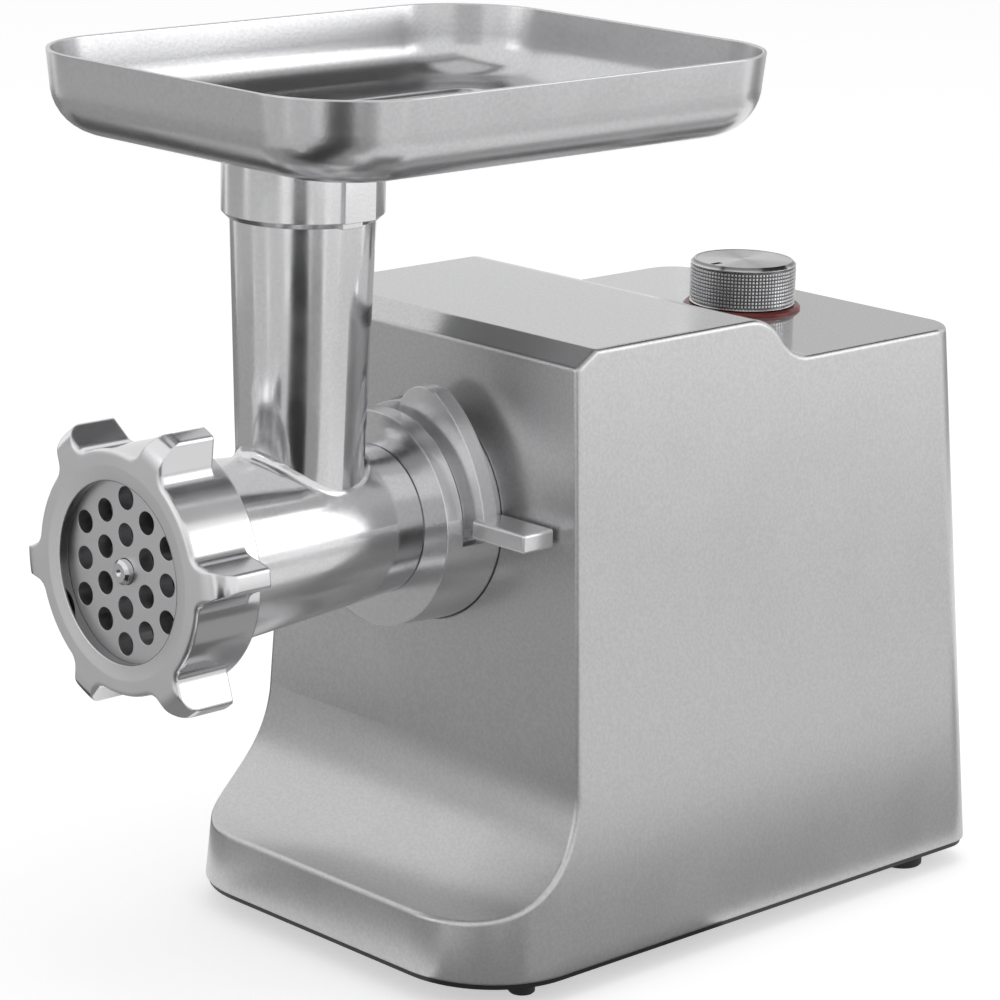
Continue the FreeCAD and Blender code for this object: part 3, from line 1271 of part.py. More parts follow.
def make_motor():
    """Stator, brackets, bearings and bolts."""
    rear = "(stator_front_y + stator_length)"
    stack = new_body("stator_body", y="stator_front_y + stator_length / 2", z="motor_height")
    outline = new_sketch(stack, "stator_outline", "XZ_Plane")
    across = "stator_width / 2"
    up = "stator_height / 2"
    draw_outline(outline, [(f"-{across}", f"-{up}"), (across, f"-{up}"), (across, up), (f"-{across}", up)])
    draw_circle(outline, "0", "0", "stator_bore")
    extrude(stack, "stator_pad", outline, "stator_length")
    bore = size("stator_bore")
    round_edges(stack, "stator_corners", "stator_corner",
                lambda edge: runs_along(edge, Vector(0, 1, 0))
                and min(abs(edge.CenterOfMass.x), abs(edge.CenterOfMass.z)) > bore)
    bolt_holes = [rod(f"stator_hole_{index}", "bolt_radius + screw_clearance",
                      "stator_length + 2 * cut_margin", x, "stator_front_y - cut_margin", z, "y")
                  for index, (x, z) in enumerate(post_places())]
    node(cut("stator", stack, *bolt_holes), "motor_stator")
    bracket("motor_front_bracket", "case_rear_y", "bracket_radius",
            "case_rear_y", "(stator_front_y - case_rear_y)")
    bracket("motor_rear_bracket", "rear_bracket_y", "rear_bracket_radius",
            rear, f"(rear_bracket_y - {rear} + bracket_thickness / 2)")
    for name, start in (("motor_front_bearing", "case_rear_y"), ("motor_rear_bearing", "rear_bracket_y")):
        end = f"{start} + bracket_thickness"
        turned(name, [(start, "shaft_radius + running_clearance"), (start, "bearing_radius"),
                      (end, "bearing_radius"), (end, "shaft_radius + running_clearance")], z="motor_height")
    bolts = []
    end = "(rear_bracket_y + bracket_thickness)"
    for index, (x, z) in enumerate(post_places()):
        shank = rod(f"bolt_shank_{index}", "bolt_radius", f"{end} - case_rear_y", x, "case_rear_y", z, "y")
        head = rod(f"bolt_head_{index}", "bolt_head_radius", "screw_head_height", x, end, z, "y")
        bolts.append(fuse(f"motor_bolt_{index}", shank, head))
    node(group("motor_bolt_set", *bolts), "motor_bolts")


# Places worked out from the sizes

def work_out():
    """Gear centres and the case's half width, from the gears' own sizes."""
    def centre_distance(module, first_teeth, second_teeth):
        return size(module) * (size(first_teeth) + size(second_teeth)) / 2

    def tip_radius(module, teeth):
        return size(module) * (size(teeth) / 2 + size("addendum"))

    lean = math.radians(size("second_gear_lean"))
    slow_reach = centre_distance("slow_module", "slow_teeth", "pinion_teeth")
    second_x = slow_reach * math.sin(lean)
    second_z = size("axis_height") - slow_reach * math.cos(lean)
    mid_reach = centre_distance("mid_module", "mid_teeth", "pinion_teeth")
    fast_reach = centre_distance("fast_module", "fast_teeth", "pinion_teeth")
    across = second_x
    up = second_z - size("motor_height")
    apart = math.hypot(across, up)
    turn = math.acos((fast_reach ** 2 + apart ** 2 - mid_reach ** 2) / (2 * fast_reach * apart))
    direction = math.atan2(up, across) + turn
    first_x = fast_reach * math.cos(direction)
    first_z = size("motor_height") + fast_reach * math.sin(direction)
    slow_tip = tip_radius("slow_module", "slow_teeth")
    reach = max(slow_tip, abs(second_x) + tip_radius("mid_module", "mid_teeth"),
                abs(first_x) + tip_radius("fast_module", "fast_teeth"))
    add_sizes({
        "first_gear_x": first_x,
        "first_gear_z": first_z,
        "second_gear_x": second_x,
        "second_gear_z": second_z,
        "slow_tip": slow_tip,
        "case_half_width": reach + size("gear_clearance") + size("case_wall"),
    })


add_sizes(SIZES)
add_sizes(DERIVED)
work_out()
make_housing()
make_socket()
make_head()
make_auger()
make_cutting_set()
make_tray()
make_controls()
make_gears()
make_gearbox()
make_rotor()
make_motor()
make_coils()
make_brushes()
doc.recompute()

faults = [item.Name for item in doc.Objects if "Invalid" in item.State or "Error" in item.State]
faults += [item.Label for item in nodes if item.Shape.isNull() or not item.Shape.isValid()]
if faults:
    raise RuntimeError("failed objects: " + ", ".join(faults))
os.makedirs("parts", exist_ok=True)
for item in nodes:
    item.Shape.exportStep(f"parts/{item.Label}.step")
    print(item.Label, len(item.Shape.Solids), round(item.Shape.Volume))
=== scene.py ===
"""Looks of an electric meat grinder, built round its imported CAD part."""

import json
import logging
import math
from collections.abc import Callable
from dataclasses import dataclass, replace
from enum import Enum

import bmesh
import bpy
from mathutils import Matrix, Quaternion, Vector

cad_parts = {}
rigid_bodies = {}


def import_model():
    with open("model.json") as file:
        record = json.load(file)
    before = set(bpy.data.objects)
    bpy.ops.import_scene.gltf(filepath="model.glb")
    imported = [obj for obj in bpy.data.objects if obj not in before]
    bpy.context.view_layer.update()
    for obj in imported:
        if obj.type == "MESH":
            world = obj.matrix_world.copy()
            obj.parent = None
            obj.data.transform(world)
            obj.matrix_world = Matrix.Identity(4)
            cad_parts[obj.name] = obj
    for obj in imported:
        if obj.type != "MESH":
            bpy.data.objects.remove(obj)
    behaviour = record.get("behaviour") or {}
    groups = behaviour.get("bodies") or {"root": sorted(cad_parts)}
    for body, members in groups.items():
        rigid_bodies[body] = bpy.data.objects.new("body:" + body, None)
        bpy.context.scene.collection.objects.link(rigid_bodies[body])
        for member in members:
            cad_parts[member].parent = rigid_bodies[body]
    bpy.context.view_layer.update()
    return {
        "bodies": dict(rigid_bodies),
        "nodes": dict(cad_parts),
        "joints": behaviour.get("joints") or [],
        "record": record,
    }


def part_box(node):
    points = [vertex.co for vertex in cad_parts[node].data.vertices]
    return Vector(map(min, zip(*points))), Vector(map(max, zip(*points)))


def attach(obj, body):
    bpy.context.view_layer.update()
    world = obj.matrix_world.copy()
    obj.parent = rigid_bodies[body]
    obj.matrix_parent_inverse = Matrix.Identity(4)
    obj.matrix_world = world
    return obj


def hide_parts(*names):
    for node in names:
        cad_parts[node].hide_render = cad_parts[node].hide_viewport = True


Colour = tuple[float, float, float]
Triple = tuple[float, float, float]
Pair = tuple[float, float]
Socket = bpy.types.NodeSocket
Piece = bpy.types.Object

LOG = logging.getLogger("grinder")
SMOOTH_ANGLE = math.radians(35.0)
MERGE_DISTANCE = 1e-6
LEVEL_TOLERANCE = 1e-5
WHITE = (1.0, 1.0, 1.0, 1.0)
RIGHTWARD = (1.0, 0.0, 0.0)
UPWARD = (0.0, 0.0, 1.0)

# Least part of a face's normal along the axis that the face looks along
FACING = 0.9

# Lean of the shell's rear face
REAR_LEAN = math.radians(3.55)

# Noise of the finishes: steps of detail, and the values between which it changes
GRAIN_DETAIL = 3.0
CLOUD_DETAIL = 5.0
CLOUD_RANGE = (0.35, 0.65)
FLECK_RANGE = (0.3, 0.7)

# Samples of the edges that are softened in the shading
SOFT_SAMPLES = 6


class Lay(Enum):
    """Way the grain of a surface runs, as a scale of its coordinates."""

    EVEN = (1.0, 1.0, 1.0)
    LENGTHWISE = (1.0, 0.04, 1.0)


class Axis(Enum):
    """Axis of the frame."""

    X = 0
    Y = 1
    Z = 2


class Element(Enum):
    """Kind of mesh element that a selection names."""

    VERTEX = "VERT"
    EDGE = "EDGE"
    FACE = "FACE"


class Graph:
    """Node tree of one material, with short calls for what the finishes share."""

    def __init__(self, name: str) -> None:
        """Start a principled material.

        Args:
            name: Name of the material.
        """
        self.material = bpy.data.materials.new(name)
        self.material.use_nodes = True
        self.nodes = self.material.node_tree.nodes
        self.links = self.material.node_tree.links
        self.shader = self.nodes["Principled BSDF"]
        self.place = self.nodes.new("ShaderNodeTexCoord").outputs["Object"]

    def set(self, name: str, value: object) -> None:
        """Set a constant on the shader's own socket."""
        self.shader.inputs[name].default_value = value

    def feed(self, name: str, source: Socket) -> None:
        """Link a socket to one of the shader's inputs."""
        self.links.new(source, self.shader.inputs[name])

    def math(self, operation: str, first: Socket | float, second: Socket | float = 0.0) -> Socket:
        """Join two values with a math node.

        Args:
            operation: Name of the node's operation.
            first: Socket or number of the first input.
            second: Socket or number of the second input.

        Returns:
            The value's output.
        """
        node = self.nodes.new("ShaderNodeMath")
        node.operation = operation
        for target, value in zip(node.inputs, (first, second)):
            if isinstance(value, (int, float)):
                target.default_value = value
            else:
                self.links.new(value, target)
        return node.outputs["Value"]

    def scaled(self, lay: Lay) -> Socket:
        """Stretch the object coordinates along the lay.

        Args:
            lay: Way the grain runs.

        Returns:
            The stretched coordinates.
        """
        if lay is Lay.EVEN:
            return self.place
        node = self.nodes.new("ShaderNodeMapping")
        node.inputs["Scale"].default_value = lay.value
        self.links.new(self.place, node.inputs["Vector"])
        return node.outputs["Vector"]

    def noise(self, size: float, detail: float = 2.0, lay: Lay = Lay.EVEN) -> Socket:
        """Add noise.

        Args:
            size: Size of its features in metres.
            detail: Steps of finer detail in it.
            lay: Way the features run.

        Returns:
            The noise from 0 to 1.
        """
        node = self.nodes.new("ShaderNodeTexNoise")
        node.inputs["Scale"].default_value = 1.0 / size
        node.inputs["Detail"].default_value = detail
        self.links.new(self.scaled(lay), node.inputs["Vector"])
        return node.outputs["Fac"]

    def along(self, axis: Axis, source: Socket | None = None) -> Socket:
        """Take one part of a vector.

        Args:
            axis: Axis of the part.
            source: The vector, or None for the object coordinates in metres.

        Returns:
            The part along the axis.
        """
        node = self.nodes.new("ShaderNodeSeparateXYZ")
        self.links.new(self.place if source is None else source, node.inputs["Vector"])
        return node.outputs[axis.value]

    def vector(self, operation: str, source: Socket) -> bpy.types.Node:
        """Add a vector math node after a socket.

        Args:
            operation: Name of the node's operation.
            source: Socket of its first input.

        Returns:
            The node.
        """
        node = self.nodes.new("ShaderNodeVectorMath")
        node.operation = operation
        self.links.new(source, node.inputs[0])
        return node

    def distance(self, centre: Triple, axis: Axis) -> Socket:
        """Return the distance from a line along an axis.

        Args:
            centre: A point on the line.
            axis: Direction of the line.

        Returns:
            The distance in metres.
        """
        across = tuple(0.0 if each is axis else 1.0 for each in Axis)
        source = self.place
        for operation, value in (("SUBTRACT", centre), ("MULTIPLY", across)):
            node = self.vector(operation, source)
            node.inputs[1].default_value = value
            source = node.outputs["Vector"]
        return self.vector("LENGTH", source).outputs["Value"]

    def lines(self, source: Socket, pitch: float) -> Socket:
        """Add noise that only changes with one value, as turning marks do.

        Args:
            source: The value in metres.
            pitch: Width of the lines in metres.

        Returns:
            The noise from 0 to 1.
        """
        node = self.nodes.new("ShaderNodeTexNoise")
        node.noise_dimensions = "1D"
        node.inputs["Scale"].default_value = 1.0 / pitch
        node.inputs["Detail"].default_value = GRAIN_DETAIL
        self.links.new(source, node.inputs["W"])
        return node.outputs["Fac"]

    def ranged(
        self, source: Socket, start: float, stop: float, low: float = 0.0, high: float = 1.0
    ) -> Socket:
        """Map a value smoothly from one range to another.

        Args:
            source: Value that is mapped.
            start: Value that becomes low.
            stop: Value that becomes high.
            low: Lower result.
            high: Upper result.

        Returns:
            The mapped value.
        """
        node = self.nodes.new("ShaderNodeMapRange")
        node.interpolation_type = "SMOOTHSTEP"
        for name, value in zip(("From Min", "From Max", "To Min", "To Max"), (start, stop, low, high)):
            node.inputs[name].default_value = value
        self.links.new(source, node.inputs["Value"])
        return node.outputs["Result"]

    def clouds(self, size: float, gloss: Pair) -> Socket:
        """Return a roughness that changes in clouds of that size in metres."""
        return self.ranged(self.noise(size, CLOUD_DETAIL), *CLOUD_RANGE, *gloss)

    def colours(self, factor: Socket, first: Colour, second: Colour) -> Socket:
        """Mix two colours.

        Args:
            factor: Share of the second colour.
            first: Colour at a share of 0.
            second: Colour at a share of 1.

        Returns:
            The mixed colour.
        """
        node = self.nodes.new("ShaderNodeMix")
        node.data_type = "RGBA"
        # The node's inputs 6 and 7 are its colours, and its output 2 is their mix
        node.inputs[6].default_value = (*first, 1.0)
        node.inputs[7].default_value = (*second, 1.0)
        self.links.new(factor, node.inputs[0])
        return node.outputs[2]

    def values(self, factor: Socket, first: Socket, second: Socket) -> Socket:
        """Mix two values.

        Args:
            factor: Share of the second value.
            first: Value at a share of 0.
            second: Value at a share of 1.

        Returns:
            The mixed value.
        """
        node = self.nodes.new("ShaderNodeMix")
        # The node's inputs 2 and 3 are its values, and its output 0 is their mix
        self.links.new(factor, node.inputs[0])
        self.links.new(first, node.inputs[2])
        self.links.new(second, node.inputs[3])
        return node.outputs[0]

    def upward(self) -> Socket:
        """Return how far a surface looks up, from -1 to 1."""
        normal = self.nodes.new("ShaderNodeNewGeometry").outputs["Normal"]
        return self.along(Axis.Z, normal)

    def soft(self, radius: float) -> Socket:
        """Round sharp edges in the shading.

        Args:
            radius: Radius of the edges in metres.

        Returns:
            The softened normal.
        """
        node = self.nodes.new("ShaderNodeBevel")
        node.samples = SOFT_SAMPLES
        node.inputs["Radius"].default_value = radius
        return node.outputs["Normal"]

    def bump(self, height: Socket, depth: float, below: Socket | None = None) -> Socket:
        """Return a normal bent by a height.

        Args:
            height: Height from 0 to 1.
            depth: Depth in metres of a height of 1.
            below: Normal of a bump under this one.

        Returns:
            The bent normal.
        """
        node = self.nodes.new("ShaderNodeBump")
        node.inputs["Distance"].default_value = depth
        self.links.new(height, node.inputs["Height"])
        if below is not None:
            self.links.new(below, node.inputs["Normal"])
        return node.outputs["Normal"]


def darker(colour: Colour, share: float) -> Colour:
    """Return a colour with that share of it taken away."""
    return tuple(value * (1.0 - share) for value in colour)


@dataclass(frozen=True)
class Finish:
    """Surface with a fine grain, cloudy gloss and a slight change of colour.

    Sizes are in metres. The grain bends the light and shades the colour, the clouds change the gloss.
    """

    name: str
    colour: Colour
    metallic: float = 1.0
    gloss: Pair = (0.25, 0.32)
    grain: float = 0.0005
    depth: float = 0.000006
    cloud: float = 0.03
    shade: float = 0.06
    edge: float = 0.0003
    lay: Lay = Lay.EVEN

    def rough(self, graph: Graph) -> Socket:
        """Return the roughness, which follows the clouds."""
        return graph.clouds(self.cloud, self.gloss)

    def tint(self, graph: Graph) -> Socket:
        """Return the colour, a little darker in places."""
        fleck = graph.ranged(graph.noise(self.grain, lay=self.lay), *FLECK_RANGE)
        return graph.colours(fleck, darker(self.colour, self.shade), self.colour)

    def normal(self, graph: Graph) -> Socket:
        """Return the normal with softened edges, bent by the grain."""
        grain = graph.noise(self.grain, GRAIN_DETAIL, self.lay)
        return graph.bump(grain, self.depth, graph.soft(self.edge))

    def make(self) -> bpy.types.Material:
        """Build the material.

        Returns:
            The material.
        """
        graph = Graph(self.name)
        graph.set("Metallic", self.metallic)
        graph.feed("Roughness", self.rough(graph))
        graph.feed("Base Color", self.tint(graph))
        graph.feed("Normal", self.normal(graph))
        self.extra(graph)
        return graph.material

    def extra(self, graph: Graph) -> None:
        """Add what only this kind of finish has."""


@dataclass(frozen=True)
class Turned(Finish):
    """Metal turned round an upright axis, with fine rings that draw the light out."""

    centre: Triple = (0.0, 0.0, 0.0)
    ring: float = 0.0004
    ring_depth: float = 0.000002
    draw: float = 0.97
    draw_turn: float = 0.25

    def normal(self, graph: Graph) -> Socket:
        """Return the normal bent by the grain and the turning rings."""
        rings = graph.lines(graph.distance(self.centre, Axis.Z), self.ring)
        return graph.bump(rings, self.ring_depth, super().normal(graph))

    def extra(self, graph: Graph) -> None:
        """Draw the light out across the rings.

        Args:
            graph: Node tree of the material.
        """
        graph.set("Anisotropic", self.draw)
        graph.set("Anisotropic Rotation", self.draw_turn)
        tangent = graph.nodes.new("ShaderNodeTangent")
        tangent.direction_type = "RADIAL"
        tangent.axis = "Z"
        graph.feed("Tangent", tangent.outputs["Tangent"])


@dataclass(frozen=True)
class Knurled(Finish):
    """Metal with a knurl round an upright axis, dull and dark in its grooves, where shade is painted into
    the colour.
    """

    centre: Triple = (0.0, 0.0, 0.0)
    groove: float = 0.0
    # Share of the colour taken away at the bottom of the grooves: painted shade
    groove_painted_shade: float = 0.65
    crest: float = 1.0

    def tint(self, graph: Graph) -> Socket:
        """Return the colour, darker at the bottom of the grooves as painted shade."""
        # The colour darkens from the crests down to the groove bottoms: painted shade
        rise = graph.ranged(graph.distance(self.centre, Axis.Z), self.groove, self.crest)
        return graph.colours(rise, darker(self.colour, self.groove_painted_shade), self.colour)


@dataclass(frozen=True)
class Faced(Finish):
    """Polished metal with a satin face at the low end of an axis, round an opening whose wall is darkened
    with painted shade.
    """

    axis: Axis = Axis.Y
    centre: Triple = (0.0, 0.0, 0.0)
    opening: float = 0.0
    opening_blend: float = 0.0003
    # Share of the colour taken away on the opening's wall: painted shade
    opening_painted_shade: float = 0.72
    face: float = 0.0
    blend: float = 0.0012
    face_gloss: Pair = (0.36, 0.44)

    def tint(self, graph: Graph) -> Socket:
        """Darken the wall of the opening with painted shade.

        Args:
            graph: Node tree of the material.

        Returns:
            The colour.
        """
        away = graph.distance(self.centre, self.axis)
        # Inside the opening's radius the colour darkens: painted shade
        outside = graph.ranged(away, self.opening, self.opening + self.opening_blend)
        return graph.colours(outside, darker(self.colour, self.opening_painted_shade), self.colour)

    def rough(self, graph: Graph) -> Socket:
        """Change from the polish to the satin face.

        Args:
            graph: Node tree of the material.

        Returns:
            The roughness.
        """
        satin = graph.clouds(self.cloud, self.face_gloss)
        at_face = graph.ranged(graph.along(self.axis), self.face, self.face + self.blend, 1.0, 0.0)
        return graph.values(at_face, super().rough(graph), satin)


@dataclass(frozen=True)
class Topped(Finish):
    """Satin metal with its level top, above a height, rubbed smoother than its sides."""

    top: float = 0.18
    blend: float = 0.01
    slant: Pair = (0.6, 0.9)
    top_gloss: Pair = (0.10, 0.13)

    def rough(self, graph: Graph) -> Socket:
        """Change from the satin sides to the smoother top.

        Args:
            graph: Node tree of the material.

        Returns:
            The roughness.
        """
        smooth = graph.clouds(self.cloud, self.top_gloss)
        level = graph.ranged(graph.upward(), *self.slant)
        high = graph.ranged(graph.along(Axis.Z), self.top - self.blend, self.top)
        return graph.values(graph.math("MULTIPLY", level, high), super().rough(graph), smooth)


@dataclass(frozen=True)
class Layered(Finish):
    """Surface of thin layers or turns of wire, stacked along an axis."""

    axis: Axis = Axis.Y
    pitch: float = 0.0007
    layer_depth: float = 0.0001

    def layers(self, graph: Graph) -> Socket:
        """Return a wave from 0 to 1 across each layer."""
        turn = graph.math("MULTIPLY", graph.along(self.axis), 2.0 * math.pi / self.pitch)
        # The node adds its third input, which is 0.5 unless it is set
        return graph.math("MULTIPLY_ADD", graph.math("SINE", turn), 0.5)

    def normal(self, graph: Graph) -> Socket:
        """Return the normal bent by the grain and the layers."""
        return graph.bump(self.layers(graph), self.layer_depth, super().normal(graph))


def rest() -> None:
    """Leave edit mode and select nothing."""
    if bpy.context.mode != "OBJECT":
        bpy.ops.object.mode_set(mode="OBJECT")
    bpy.ops.object.select_all(action="DESELECT")


def activate(piece: Piece) -> None:
    """Leave edit mode and select one piece alone.

    Args:
        piece: Piece that becomes the active one.
    """
    rest()
    piece.select_set(True)
    bpy.context.view_layer.objects.active = piece


def named(name: str) -> Piece:
    """Name the active object and bake its place into its mesh.

    Args:
        name: Name of the object and of its mesh.

    Returns:
        The object.
    """
    piece = bpy.context.object
    piece.name = name
    piece.data.name = name
    bpy.ops.object.transform_apply(location=True, rotation=True, scale=True)
    return piece


def edit() -> None:
    """Enter edit mode on the active object."""
    bpy.ops.object.mode_set(mode="EDIT")


def pick_all() -> None:
    """Select the whole mesh in edit mode."""
    bpy.ops.mesh.select_all(action="SELECT")


def pick(piece: Piece, kind: Element, test: Callable[[object], bool]) -> None:
    """Select the elements of a mesh in edit mode for which a test holds.

    Args:
        piece: Object in edit mode.
        kind: Element that is selected.
        test: Says whether an element is taken.
    """
    bpy.ops.mesh.select_mode(type=kind.value)
    bpy.ops.mesh.select_all(action="DESELECT")
    mesh = bmesh.from_edit_mesh(piece.data)
    elements = {Element.VERTEX: mesh.verts, Element.EDGE: mesh.edges, Element.FACE: mesh.faces}[kind]
    for element in elements:
        if test(element):
            element.select_set(True)
    mesh.select_flush_mode()
    bmesh.update_edit_mesh(piece.data)


def level_edge(edge: bmesh.types.BMEdge, height: float) -> bool:
    """Say whether both ends of an edge lie at a height."""
    return all(abs(vertex.co.z - height) < LEVEL_TOLERANCE for vertex in edge.verts)


def follow(start: Pair, stations: list[Pair], axis: Vector) -> None:
    """Extrude the selected ring through stations of radius and height.

    Args:
        start: Radius and height of the selected ring.
        stations: Radius and height of each ring that follows.
        axis: A point on the upright axis of the rings.
    """
    radius, height = start
    for next_radius, next_height in stations:
        bpy.ops.mesh.extrude_region()
        bpy.ops.transform.translate(value=(0.0, 0.0, next_height - height))
        share = next_radius / radius
        bpy.ops.transform.resize(value=(share, share, 1.0), center_override=(axis.x, axis.y, next_height))
        radius, height = next_radius, next_height


def modify(piece: Piece, kind: str, **settings: object) -> None:
    """Add a modifier and apply it.

    Args:
        piece: Object that is modified.
        kind: Type of the modifier.
        settings: Its settings by name.
    """
    modifier = piece.modifiers.new(kind.lower(), kind)
    for name, value in settings.items():
        setattr(modifier, name, value)
    bpy.context.view_layer.objects.active = piece
    bpy.ops.object.modifier_apply(modifier=modifier.name)


def cut_box(piece: Piece, place: Vector, size: Triple) -> None:
    """Take a box out of a piece.

    Args:
        piece: Object that is cut.
        place: Middle of the box.
        size: Its size along each axis.
    """
    bpy.ops.mesh.primitive_cube_add(size=1.0, location=place)
    bpy.ops.transform.resize(value=size)
    tool = named("box_tool")
    modify(piece, "BOOLEAN", operation="DIFFERENCE", object=tool, solver="EXACT")
    bpy.data.objects.remove(tool)


def stand(thing: Piece, place: Triple, turn: Quaternion) -> None:
    """Put an object at a place and turn it.

    Args:
        thing: Object that is put there.
        place: Where its origin goes.
        turn: How it is turned.
    """
    thing.location = place
    thing.rotation_mode = "QUATERNION"
    thing.rotation_quaternion = turn


def copied(pattern: Piece, name: str, places: list[Vector], turns: list[Quaternion]) -> Piece:
    """Set a copy of a pattern at each place, join the copies and remove the pattern.

    Args:
        pattern: Piece that is copied.
        name: Name of the joined piece.
        places: Where each copy's origin goes.
        turns: How each copy is turned.

    Returns:
        The joined piece.
    """
    copies = []
    for place, turn in zip(places, turns):
        activate(pattern)
        bpy.ops.object.duplicate()
        stand(bpy.context.object, place, turn)
        copies.append(named(name))
    bpy.data.objects.remove(pattern)
    rest()
    for copy in copies:
        copy.select_set(True)
    bpy.context.view_layer.objects.active = copies[0]
    bpy.ops.object.join()
    return named(name)


def finished(piece: Piece, body: str, slot: str, *materials: bpy.types.Material) -> Piece:
    """Clean a modelled piece, give it its materials and let it ride on a body.

    Args:
        piece: The modelled piece.
        body: CAD body it moves with.
        slot: Material slot of the record; not used.
        materials: Its finishes, the main one first.

    Returns:
        The piece.
    """
    activate(piece)
    edit()
    pick_all()
    bpy.ops.mesh.remove_doubles(threshold=MERGE_DISTANCE)
    bpy.ops.mesh.normals_make_consistent(inside=False)
    activate(piece)
    bpy.ops.object.shade_smooth_by_angle(angle=SMOOTH_ANGLE)
    modify(piece, "WEIGHTED_NORMAL", keep_sharp=True)
    piece.data.materials.clear()
    for material in materials:
        piece.data.materials.append(material)
    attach(piece, body)
    LOG.info("%s rides on %s", piece.name, body)
    return piece


def dress(frame: dict, material: bpy.types.Material, *nodes: str) -> None:
    """Give CAD nodes a material.

    Args:
        frame: The loaded part.
        material: Finish of the nodes.
        nodes: Their names.
    """
    for node in nodes:
        for slot in frame["nodes"][node].material_slots:
            slot.material = material
        LOG.info("%s is %s", node, material.name)


@dataclass
class SpeedKnob:
    """Knurled knob with a plain band, a bevelled rim, a dished top and a pointer mark."""

    columns: int = 93
    rows: int = 10
    knurl_height: float = 0.0122
    knurl_depth: float = 0.0008
    knurl_gap: float = 0.00028
    foot: float = 0.0008
    bevel: float = 0.0013
    rim: float = 0.0006
    dish: float = 0.00012
    mark_start: float = 0.0116
    mark_end: float = 0.0166
    mark_width: float = 0.0020
    mark_depth: float = 0.0008
    grain_depth: float = 0.000002
    # The knurl's finish carries painted shade at the bottom of its grooves
    skirt: Knurled = Knurled("knurled_aluminium", (0.70, 0.70, 0.71), gloss=(0.13, 0.17), depth=grain_depth)
    crown: Turned = Turned("turned_aluminium", (0.66, 0.66, 0.67), gloss=(0.33, 0.37), depth=grain_depth)
    # Near-black colour of the pointer mark's walls and floor
    fill: Finish = Finish("mark_black", (0.03, 0.03, 0.03), 0.0, (0.5, 0.6), 0.0004, 0.00001)

    def place(self) -> tuple[Vector, Vector, float]:
        """Measure the plain knob of the CAD part.

        Returns:
            The middle of its underside, the middle of its top and its radius.
        """
        low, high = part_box("control_knob")
        middle = (low + high) / 2.0
        bottom = Vector((middle.x, middle.y, low.z))
        return bottom, Vector((middle.x, middle.y, high.z)), (high.x - low.x) / 2.0

    def build(self) -> Piece:
        """Model the knob.

        Returns:
            The knob.
        """
        low, high, radius = self.place()
        knurl_low = low.z + self.foot
        knurl_high = knurl_low + self.knurl_height
        core = radius - self.knurl_depth
        rest()
        bpy.ops.mesh.primitive_cylinder_add(
            vertices=self.columns,
            radius=core,
            depth=self.knurl_height,
            end_fill_type="NOTHING",
            location=(low.x, low.y, (knurl_low + knurl_high) / 2.0),
        )
        knob = named("knob_dial")
        edit()
        pick(knob, Element.EDGE, lambda edge: abs(edge.verts[0].co.z - edge.verts[1].co.z) > self.foot)
        bpy.ops.mesh.subdivide(number_cuts=self.rows - 1)
        pick(knob, Element.FACE, lambda face: True)
        bpy.ops.mesh.inset(thickness=self.knurl_gap, depth=self.knurl_depth, use_individual=True)
        top = high.z
        pick(knob, Element.EDGE, lambda edge: level_edge(edge, knurl_high))
        follow(
            (core, knurl_high),
            [
                (radius, knurl_high + self.knurl_depth),
                (radius, top - self.bevel),
                (radius - self.bevel, top),
                (radius - self.bevel - self.rim, top),
                (radius - self.bevel - self.rim - self.dish, top - self.dish),
            ],
            low,
        )
        bpy.ops.mesh.edge_face_add()
        pick(knob, Element.EDGE, lambda edge: level_edge(edge, knurl_low))
        follow((core, knurl_low), [(radius, knurl_low - self.knurl_depth), (radius, low.z)], low)
        bpy.ops.mesh.edge_face_add()
        rest()
        self.mark(knob, Vector((low.x, low.y, top - self.dish)))
        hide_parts("control_knob")
        # The groove and crest radii bound the painted shade in the knurl
        skirt = replace(self.skirt, centre=tuple(low), groove=core, crest=radius)
        crown = replace(self.crown, centre=tuple(low))
        finished(knob, "knob", "knob_metal", skirt.make(), crown.make(), self.fill.make())
        self.turn_top(knob, top)
        return knob

    def turn_top(self, knob: Piece, top: float) -> None:
        """Give the dished top its turned finish and make the walls and floor of the pointer mark black.

        Args:
            knob: The knob.
            top: Height of its rim.
        """
        knob.select_set(True)
        edit()
        floor = top - self.dish - self.mark_depth
        pick(
            knob, Element.FACE, lambda face: face.normal.z > FACING and face.calc_center_median().z > floor
        )
        knob.active_material_index = 1
        bpy.ops.object.material_slot_assign()
        middle, _, radius = self.place()
        middle.z = top - self.dish
        pick(knob, Element.FACE, lambda face: self.in_mark(face, middle, radius))
        knob.active_material_index = 2
        bpy.ops.object.material_slot_assign()
        rest()

    def in_mark(self, face: bmesh.types.BMFace, middle: Vector, radius: float) -> bool:
        """Say whether a face is a wall or the floor of the pointer mark.

        Args:
            face: Face of the knob.
            middle: Middle of the dished top.
            radius: Radius of the knob.

        Returns:
            True in the mark.
        """
        offset = face.calc_center_median() - middle
        inside = offset.to_2d().length < radius - self.bevel - self.rim - self.dish
        deepest = -self.mark_depth - self.dish
        return inside and deepest < offset.z < -MERGE_DISTANCE

    def mark(self, knob: Piece, face: Vector) -> None:
        """Sink the pointer mark into the top.

        Args:
            knob: The knob.
            face: Middle of its top.
        """
        length = self.mark_end - self.mark_start
        middle = (self.mark_end + self.mark_start) / 2.0
        place = face - Vector((0.0, middle, 0.0))
        cut_box(knob, place, (self.mark_width, length, 2.0 * self.mark_depth))


